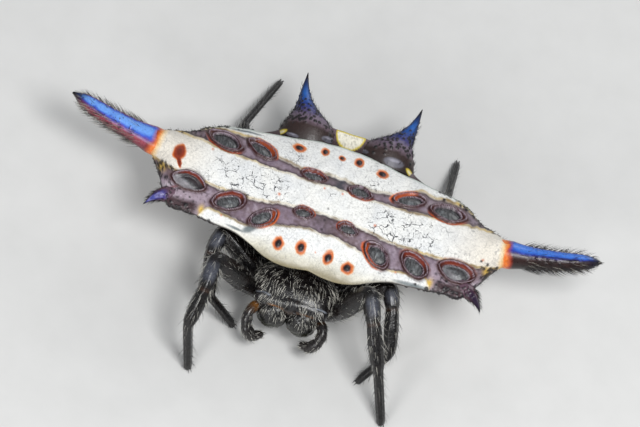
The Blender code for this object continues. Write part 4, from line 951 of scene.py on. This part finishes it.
# Jaws (chelicerae): a pair of stout lobes of black cuticle that hang hinged under the face, olive
# towards the tip, each with a short curved fang and pale hairs on the front.
for side, name in ((1, "left"), (-1, "right")):
    centre = np.array([PROSOMA_X + 0.51 * side, -3.66, 1.40])
    theta = np.linspace(0.02, np.pi - 0.02, 60)[:, None]
    phi = 2 * np.pi * np.arange(64)[None] / 64
    ball = np.stack([0.54 * np.sin(theta) * np.cos(phi), 0.44 * np.sin(theta) * np.sin(phi),
                     0.60 * np.cos(theta) + 0 * phi], 2)
    lean = math.radians(-14)
    ball = np.stack([ball[..., 0], ball[..., 1] * math.cos(lean) - ball[..., 2] * math.sin(lean),
                     ball[..., 1] * math.sin(lean) + ball[..., 2] * math.cos(lean)], 2)
    points = centre + ball
    normal = outward(points)
    points = points + normal * (0.02 * speckle(phi * 3 + 0 * theta, theta * 3 + 0 * phi, 0.5, 5))[..., None]
    tint = lay(paint(11, 10, 11), paint(36, 38, 26), ease(0.15, -0.25, ball[..., 2]) * 0.75)
    jaw = skin("jaw_" + name, points, dark_finish, Colour=tint, Granules=0.7)
    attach(jaw, "root")
    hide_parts("chelicera_" + name)
    t = np.linspace(0, 1, 24)[:, None]
    start = centre + (-0.05 * side, 0.12, -0.52)
    arc = start + np.array([-0.18 * side, 0.24, -0.26]) * t + np.array([0, 0.05, 0.0]) * t ** 2
    fang_points = tube(arc, 0.15 * (1 - t[:, 0]) ** 0.7 + 0.015, 24)
    fang = skin("fang_" + name, fang_points, dark_finish, Colour=lay(paint(60, 24, 14), INK, t),
                Granules=0.0)
    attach(fang, "root")
    count = 130
    weight = ease(0.3, -0.4, normal[..., 1]) * ease(0.10, 0.34, ball[..., 2]) + 0.004
    spot, up, way, unwrapped, rng = scatter(points, weight, count, 90 + side)
    comb = np.array([0.0, -0.25, -1.0]) - up * ((np.array([0.0, -0.25, -1.0]) * up).sum(1))[:, None]
    pale = rng.random(count) ** 1.3
    hairs("jaw_setae_" + name, spot - up * 0.01, comb + up * 0.35, -up * 0.2,
          rng.uniform(0.12, 0.24, count), rng.uniform(0.0055, 0.008, count),
          lay(paint(18, 16, 15), SETA, pale), unwrapped, bristles)

# Legs: eight jointed tubes of black cuticle, each one skin from the hip to the foot here, pinched and
# swollen at its joints, granular and hairy, with a pair of small claws under a level pad.
LEG_SIDES = 28
PAD_HEIGHT = 0.16
LEGS = {
    "leg_1_left": [(.80, -3.00, 1.12), (1.25, -3.10, 1.45), (2.20, -2.98, 3.50), (2.63, -3.85, 3.10),
                   (3.26, -4.86, 1.90), (3.87, -5.68, 0)],
    "leg_1_right": [(-.95, -3.00, 1.12), (-1.50, -3.10, 1.45), (-3.00, -3.43, 3.30), (-3.07, -4.57, 3.05),
                    (-3.23, -5.47, 2.00), (-2.83, -5.90, 0)],
    "leg_2_left": [(.80, -2.45, 1.10), (1.25, -2.45, 1.35), (2.79, -1.88, 2.35), (3.08, -2.55, 2.10),
                   (3.46, -3.73, 1.20), (2.75, -4.43, 0)],
    "leg_2_right": [(-.95, -2.45, 1.10), (-1.50, -2.45, 1.35), (-3.07, -1.77, 2.35), (-3.25, -2.56, 2.00),
                    (-2.84, -3.70, 1.20), (-1.86, -3.86, 0)],
    "leg_3_left": [(.75, -1.92, 1.08), (1.15, -1.85, 1.15), (2.30, -1.10, 1.50), (2.80, -.75, 1.32),
                   (3.05, -.25, .80), (3.22, .35, 0)],
    "leg_3_right": [(-.90, -1.92, 1.08), (-1.30, -1.85, 1.15), (-2.45, -1.10, 1.50), (-2.90, -.75, 1.32),
                    (-3.10, -.25, .80), (-3.25, .35, 0)],
    "leg_4_left": [(.60, -1.45, 1.05), (.95, -1.15, 1.05), (2.85, .50, 1.35), (3.30, 1.30, 1.30),
                   (3.74, 2.98, .90), (3.72, 4.75, 0)],
    "leg_4_right": [(-.75, -1.45, 1.05), (-1.10, -1.15, 1.05), (-2.90, .60, 1.35), (-3.30, 1.50, 1.30),
                    (-3.55, 3.23, .90), (-2.84, 5.66, 0)],
}
# By pair: thickness, how slim the foot is, and the number of hairs.
LEG_PAIR = {"1": (1.0, 0.80, 480), "2": (0.95, 0.76, 400), "3": (0.75, 0.80, 220), "4": (0.9, 0.66, 400)}
# Along a leg: stretch and share of it, then radius. Stretches run hip to trochanter, femur, patella,
# tibia, foot.
LEG_GIRTH = [(0.0, .22), (.75, .25), (1.0, .23), (1.08, .27), (1.35, .37), (1.65, .365), (1.9, .30),
             (1.99, .25), (2.08, .26), (2.5, .29), (2.88, .25), (2.99, .215), (3.1, .24), (3.4, .265),
             (3.8, .235), (3.98, .185), (4.08, .20), (4.35, .19), (4.52, .165), (4.56, .155),
             (4.62, .165), (4.8, .15), (5.0, .11)]


def rounded_path(marks, bends, count):
    """The straight stretches between marks, read evenly and averaged over bends (mm) at the joints."""
    marks = np.array(marks, float)
    reach = np.concatenate([[0.0], np.cumsum(np.linalg.norm(np.diff(marks, axis=0), axis=1))])
    place = np.linspace(0.0, reach[-1], count)
    window = np.linspace(-bends, bends, 17)
    to_end = np.minimum(place, reach[-1] - place)[:, None]
    spread = place[:, None] + window * np.minimum(1.0, to_end / bends)
    path = np.stack([np.interp(spread, reach, marks[:, k]).mean(1) for k in range(3)], 1)
    return path, np.interp(place, reach, np.arange(len(marks)))


for name, marks in LEGS.items():
    size, slim, count = LEG_PAIR[name[4]]
    toe = np.array(marks[-1], float)
    path, stretch = rounded_path(marks[:-1] + [toe + (0, 0, PAD_HEIGHT), toe], 0.16, 150)
    stretch = np.where(stretch > 4.0, 4.0 + (stretch - 4.0) * 0.5, stretch)
    girth = np.interp(stretch, [g[0] for g in LEG_GIRTH], [g[1] for g in LEG_GIRTH])
    girth = girth * size * (1 + (slim - 1) * ease(3.9, 4.1, stretch))
    points = tube(path, girth, LEG_SIDES, level_foot=True)
    normal = outward(points)
    part = np.broadcast_to(stretch[:, None], points.shape[:2])
    round_leg = np.broadcast_to(np.arange(LEG_SIDES) / LEG_SIDES, part.shape)
    mottled = speckle(part * 4, round_leg * 6, 0.5, 13)
    ridge = 0.012 * np.sin(2 * np.pi * round_leg * 7) * ease(1.1, 1.4, part)
    points = points + normal * (ridge * ease(5.0, 4.8, part))[..., None]
    tint = lay(paint(11, 10, 11), paint(28, 22, 20), 0.25 + 0.45 * mottled)
    # Painted highlight: grey-blue on the upward faces of the patella.
    tint = lay(tint, paint(96, 100, 112), ease(2.1, 2.35, part) * ease(2.9, 2.65, part)
               * ease(0.35, 0.9, normal[..., 2]) * 0.5)
    tint = lay(tint, paint(96, 60, 34), swell(part, 3.0, 0.03) * 0.25)
    limb = skin(name + "_skin", points, dark_finish, Colour=tint, Granules=0.8)
    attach(limb, "root")
    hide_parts(*[name + "_" + piece for piece in ("femur", "tibia", "tarsus")])
    spot, up, way, unwrapped, rng = scatter(points, ease(0.8, 1.2, part) * ease(4.98, 4.8, part), count,
                                            100 + len(name) + int(name[4]) * 7)
    reached = np.interp(unwrapped[:, 0], np.linspace(0, 1, len(stretch)), stretch)
    pale = np.where(rng.random(count) < 0.45, 0.5 + 0.5 * rng.random(count), 0.0) * ease(4.4, 3.6, reached)
    stand = rng.uniform(0.40, 0.9, count)[:, None]
    off_floor = np.maximum(spot[:, 2] * 0.7, 0.004)
    under_top = 0.06 + np.maximum(SOLID_TOP - spot[:, 2], 0.0)
    length = np.minimum(np.minimum(rng.uniform(0.16, 0.36, count), off_floor), under_top)
    hairs(name + "_setae", spot - up * 0.01, way * 0.9 + up * stand, way * 0.2, length,
          rng.uniform(0.005, 0.0072, count), lay(paint(16, 14, 15), SETA, pale), unwrapped, bristles)
    ahead = (toe - np.array(marks[-2])) * (1, 1, 0)
    ahead /= np.linalg.norm(ahead)
    t = np.linspace(0, 1, 14)[:, None]
    for sideways, tag in ((-0.05, "inner"), (0.05, "outer")):
        cross = np.cross(ahead, (0, 0, 1))
        arc = (toe + (0, 0, 0.10) + ahead * 0.05 + cross * sideways + ahead * 0.16 * t * size
               + np.array([0, 0, 0.035]) * np.sin(np.pi * t) - np.array([0, 0, 0.085]) * t ** 2)
        claw = skin(f"{name}_claw_{tag}", tube(arc, (0.022 * (1 - t[:, 0]) + 0.004) * size, 12),
                    dark_finish, Colour=INK, Granules=0.0)
        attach(claw, "root")

# Palps: a short pair of jointed feelers beside the jaws, amber at the root and black beyond. They
# are tubes of the legs' cuticle, haired, and bent in under the face.
PALPS = {"palp_left": [(0.72, -3.38, 1.22), (0.98, -3.60, 1.52), (1.13, -3.92, 1.58), (1.08, -4.18, 1.30),
                       (0.86, -4.30, 0.98), (0.48, -4.22, 0.88)],
         "palp_right": [(-1.04, -3.38, 1.22), (-1.28, -3.60, 1.50), (-1.46, -4.00, 1.52),
                        (-1.40, -4.35, 1.15), (-1.14, -4.45, 0.80), (-0.76, -4.22, 0.80)]}
for name, marks in PALPS.items():
    path, stretch = rounded_path(marks, 0.12, 90)
    girth = np.interp(stretch, [0, .7, 1, 1.5, 1.97, 2.5, 2.97, 3.1, 3.5, 4.0, 4.5, 4.85, 5],
                      [.15, .18, .16, .19, .155, .19, .165, .19, .21, .20, .17, .12, .05])
    points = tube(path, girth, 28)
    normal = outward(points)
    part = np.broadcast_to(stretch[:, None], points.shape[:2])
    tint = blend_stops([(0, paint(176, 104, 44)), (1.0, paint(140, 92, 40)), (1.7, paint(64, 44, 28)),
                        (2.1, paint(24, 21, 22)), (5, paint(30, 26, 25))],
                       part + (0.6 if name == "palp_left" else 0.0))
    feeler = skin(name + "_skin", points, dark_finish, Colour=tint, Granules=0.6)
    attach(feeler, "root")
    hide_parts(name)
    count = 200
    spot, up, way, unwrapped, rng = scatter(points, ease(0.8, 1.6, part), count, 130 + len(name))
    pale = rng.random(count) ** 2.2
    hairs(name + "_setae", spot - up * 0.01, way * 0.9 + up * 0.45, way * 0.1,
          rng.uniform(0.10, 0.20, count), rng.uniform(0.005, 0.008, count),
          lay(paint(18, 16, 16), SETA, pale), unwrapped, bristles)

# Waist and spinnerets: the thin soft stalk between the two halves of the body, and under the belly
# the low ring with three pairs of silk taps.
along = np.linspace(0, 1, 30)
path = np.array([-.08, -1.62, 1.22]) + np.array([.08, .87, .63]) * along[:, None]
girth = 0.22 + 0.04 * np.abs(np.linspace(-1, 1, 30)) ** 3 + 0.012 * np.sin(np.linspace(0, 30, 30))
waist = skin("waist", tube(path, girth, 32), dark_finish, Colour=paint(70, 50, 40), Granules=0.3)
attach(waist, "root")
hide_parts("pedicel")
root = tilted(np.array([0.0, 0.85, -2.5]))
drop = np.linspace(0.0, 1.0, 24)
points = tube(root - np.stack([0 * drop, 0 * drop, 0.42 * drop], 1),
              0.52 - 0.08 * drop + 0.015 * np.sin(25 * drop), 48)
collar = skin("spinneret_ring", points, dark_finish, Colour=paint(84, 60, 44), Granules=0.4)
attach(collar, "root")
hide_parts("spinnerets")
for k in range(6):
    out = np.array([math.cos(math.radians(30 + 60 * k)), math.sin(math.radians(30 + 60 * k)), 0.0])
    start = root + out * 0.22 + (0, 0, -0.25)
    points = tube(start + (out * 0.02 + (0, 0, -0.42)) * drop[:, None], 0.13 - 0.07 * drop ** 1.5, 24)
    tap = skin(f"silk_tap_{k}", points, dark_finish, Colour=paint(96, 70, 50), Granules=0.4)
    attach(tap, "root")

# Stage: a plain pale floor under soft studio lamps, with the camera over the front, turned 17.9
# degrees, 60 degrees above the floor and 300 mm away behind a long lens.
bpy.ops.mesh.primitive_plane_add(size=0.6, location=(0.0, 0.0, 0.0))
floor = bpy.context.object
floor.name = "floor"
floor_finish, tree, shader = fresh("pale_floor")
place = add(tree, "TexCoord").outputs["Object"]
paper = add(tree, "TexNoise", [("Vector", place)], Scale=900.0, Detail=3.0)
paper_tone = add(tree, "ValToRGB", [("Fac", paper.outputs["Fac"])])
paper_tone.color_ramp.elements[0].color = (0.60, 0.60, 0.59, 1.0)
paper_tone.color_ramp.elements[1].color = (0.66, 0.66, 0.65, 1.0)
tree.links.new(paper_tone.outputs["Color"], shader.inputs["Base Color"])
shader.inputs["Roughness"].default_value = 0.75
floor.data.materials.append(floor_finish)

world = bpy.data.worlds.new("studio")
bpy.context.scene.world = world
world.use_nodes = True
world.node_tree.nodes["Background"].inputs["Color"].default_value = (0.93, 0.96, 1.0, 1.0)
world.node_tree.nodes["Background"].inputs["Strength"].default_value = 0.30
bpy.context.scene.view_settings.view_transform = "Standard"


def lamp(name, place, aim, size, power):
    """A square area lamp at place that looks at aim, both in millimetres."""
    light = bpy.data.lights.new(name, "AREA")
    light.size = size * MM
    light.energy = power
    made = bpy.data.objects.new(name, light)
    bpy.context.scene.collection.objects.link(made)
    made.location = np.array(place) * MM
    toward_aim = Vector(np.array(aim, float) - np.array(place, float))
    made.rotation_euler = toward_aim.to_track_quat("-Z", "Y").to_euler()


lamp("key_lamp", (22, -30, 80), (0, 0, 2), 30, 0.054)
lamp("fill_lamp", (-30, -80, 42), (0, 0, 2), 34, 0.040)
lamp("rear_lamp", (30, 75, 45), (0, 0, 2), 40, 0.022)

ELEVATION = math.radians(60)
ROLL_COSINE, ROLL_SINE = 0.952, 0.307
DISTANCE, SENSOR = 300.0, 36.0
PICTURE_WIDTH, PIXELS_PER_MM = 640.0, 30.0
up_screen = np.array([0.0, math.sin(ELEVATION), math.cos(ELEVATION)])
sight = np.array([0.0, math.cos(ELEVATION), -math.sin(ELEVATION)])
right = np.array([ROLL_COSINE, *(ROLL_SINE * up_screen)[1:]])
upward = np.array([-ROLL_SINE, *(ROLL_COSINE * up_screen)[1:]])
target = np.array([-0.19, 0.0, 3.5]) + -0.604 * up_screen
eye_place = (target - sight * DISTANCE) * MM + SHIFT
camera_data = bpy.data.cameras.new("camera")
camera_data.lens = SENSOR * DISTANCE / (PICTURE_WIDTH / PIXELS_PER_MM)
camera_data.sensor_width = SENSOR
camera_data.clip_start = 0.02
camera_data.clip_end = 5.0
camera = bpy.data.objects.new("camera", camera_data)
bpy.context.scene.collection.objects.link(camera)
turned = Matrix([right, upward, -sight]).transposed().to_4x4()
turned.translation = Vector(eye_place)
camera.matrix_world = turned
bpy.context.scene.camera = camera
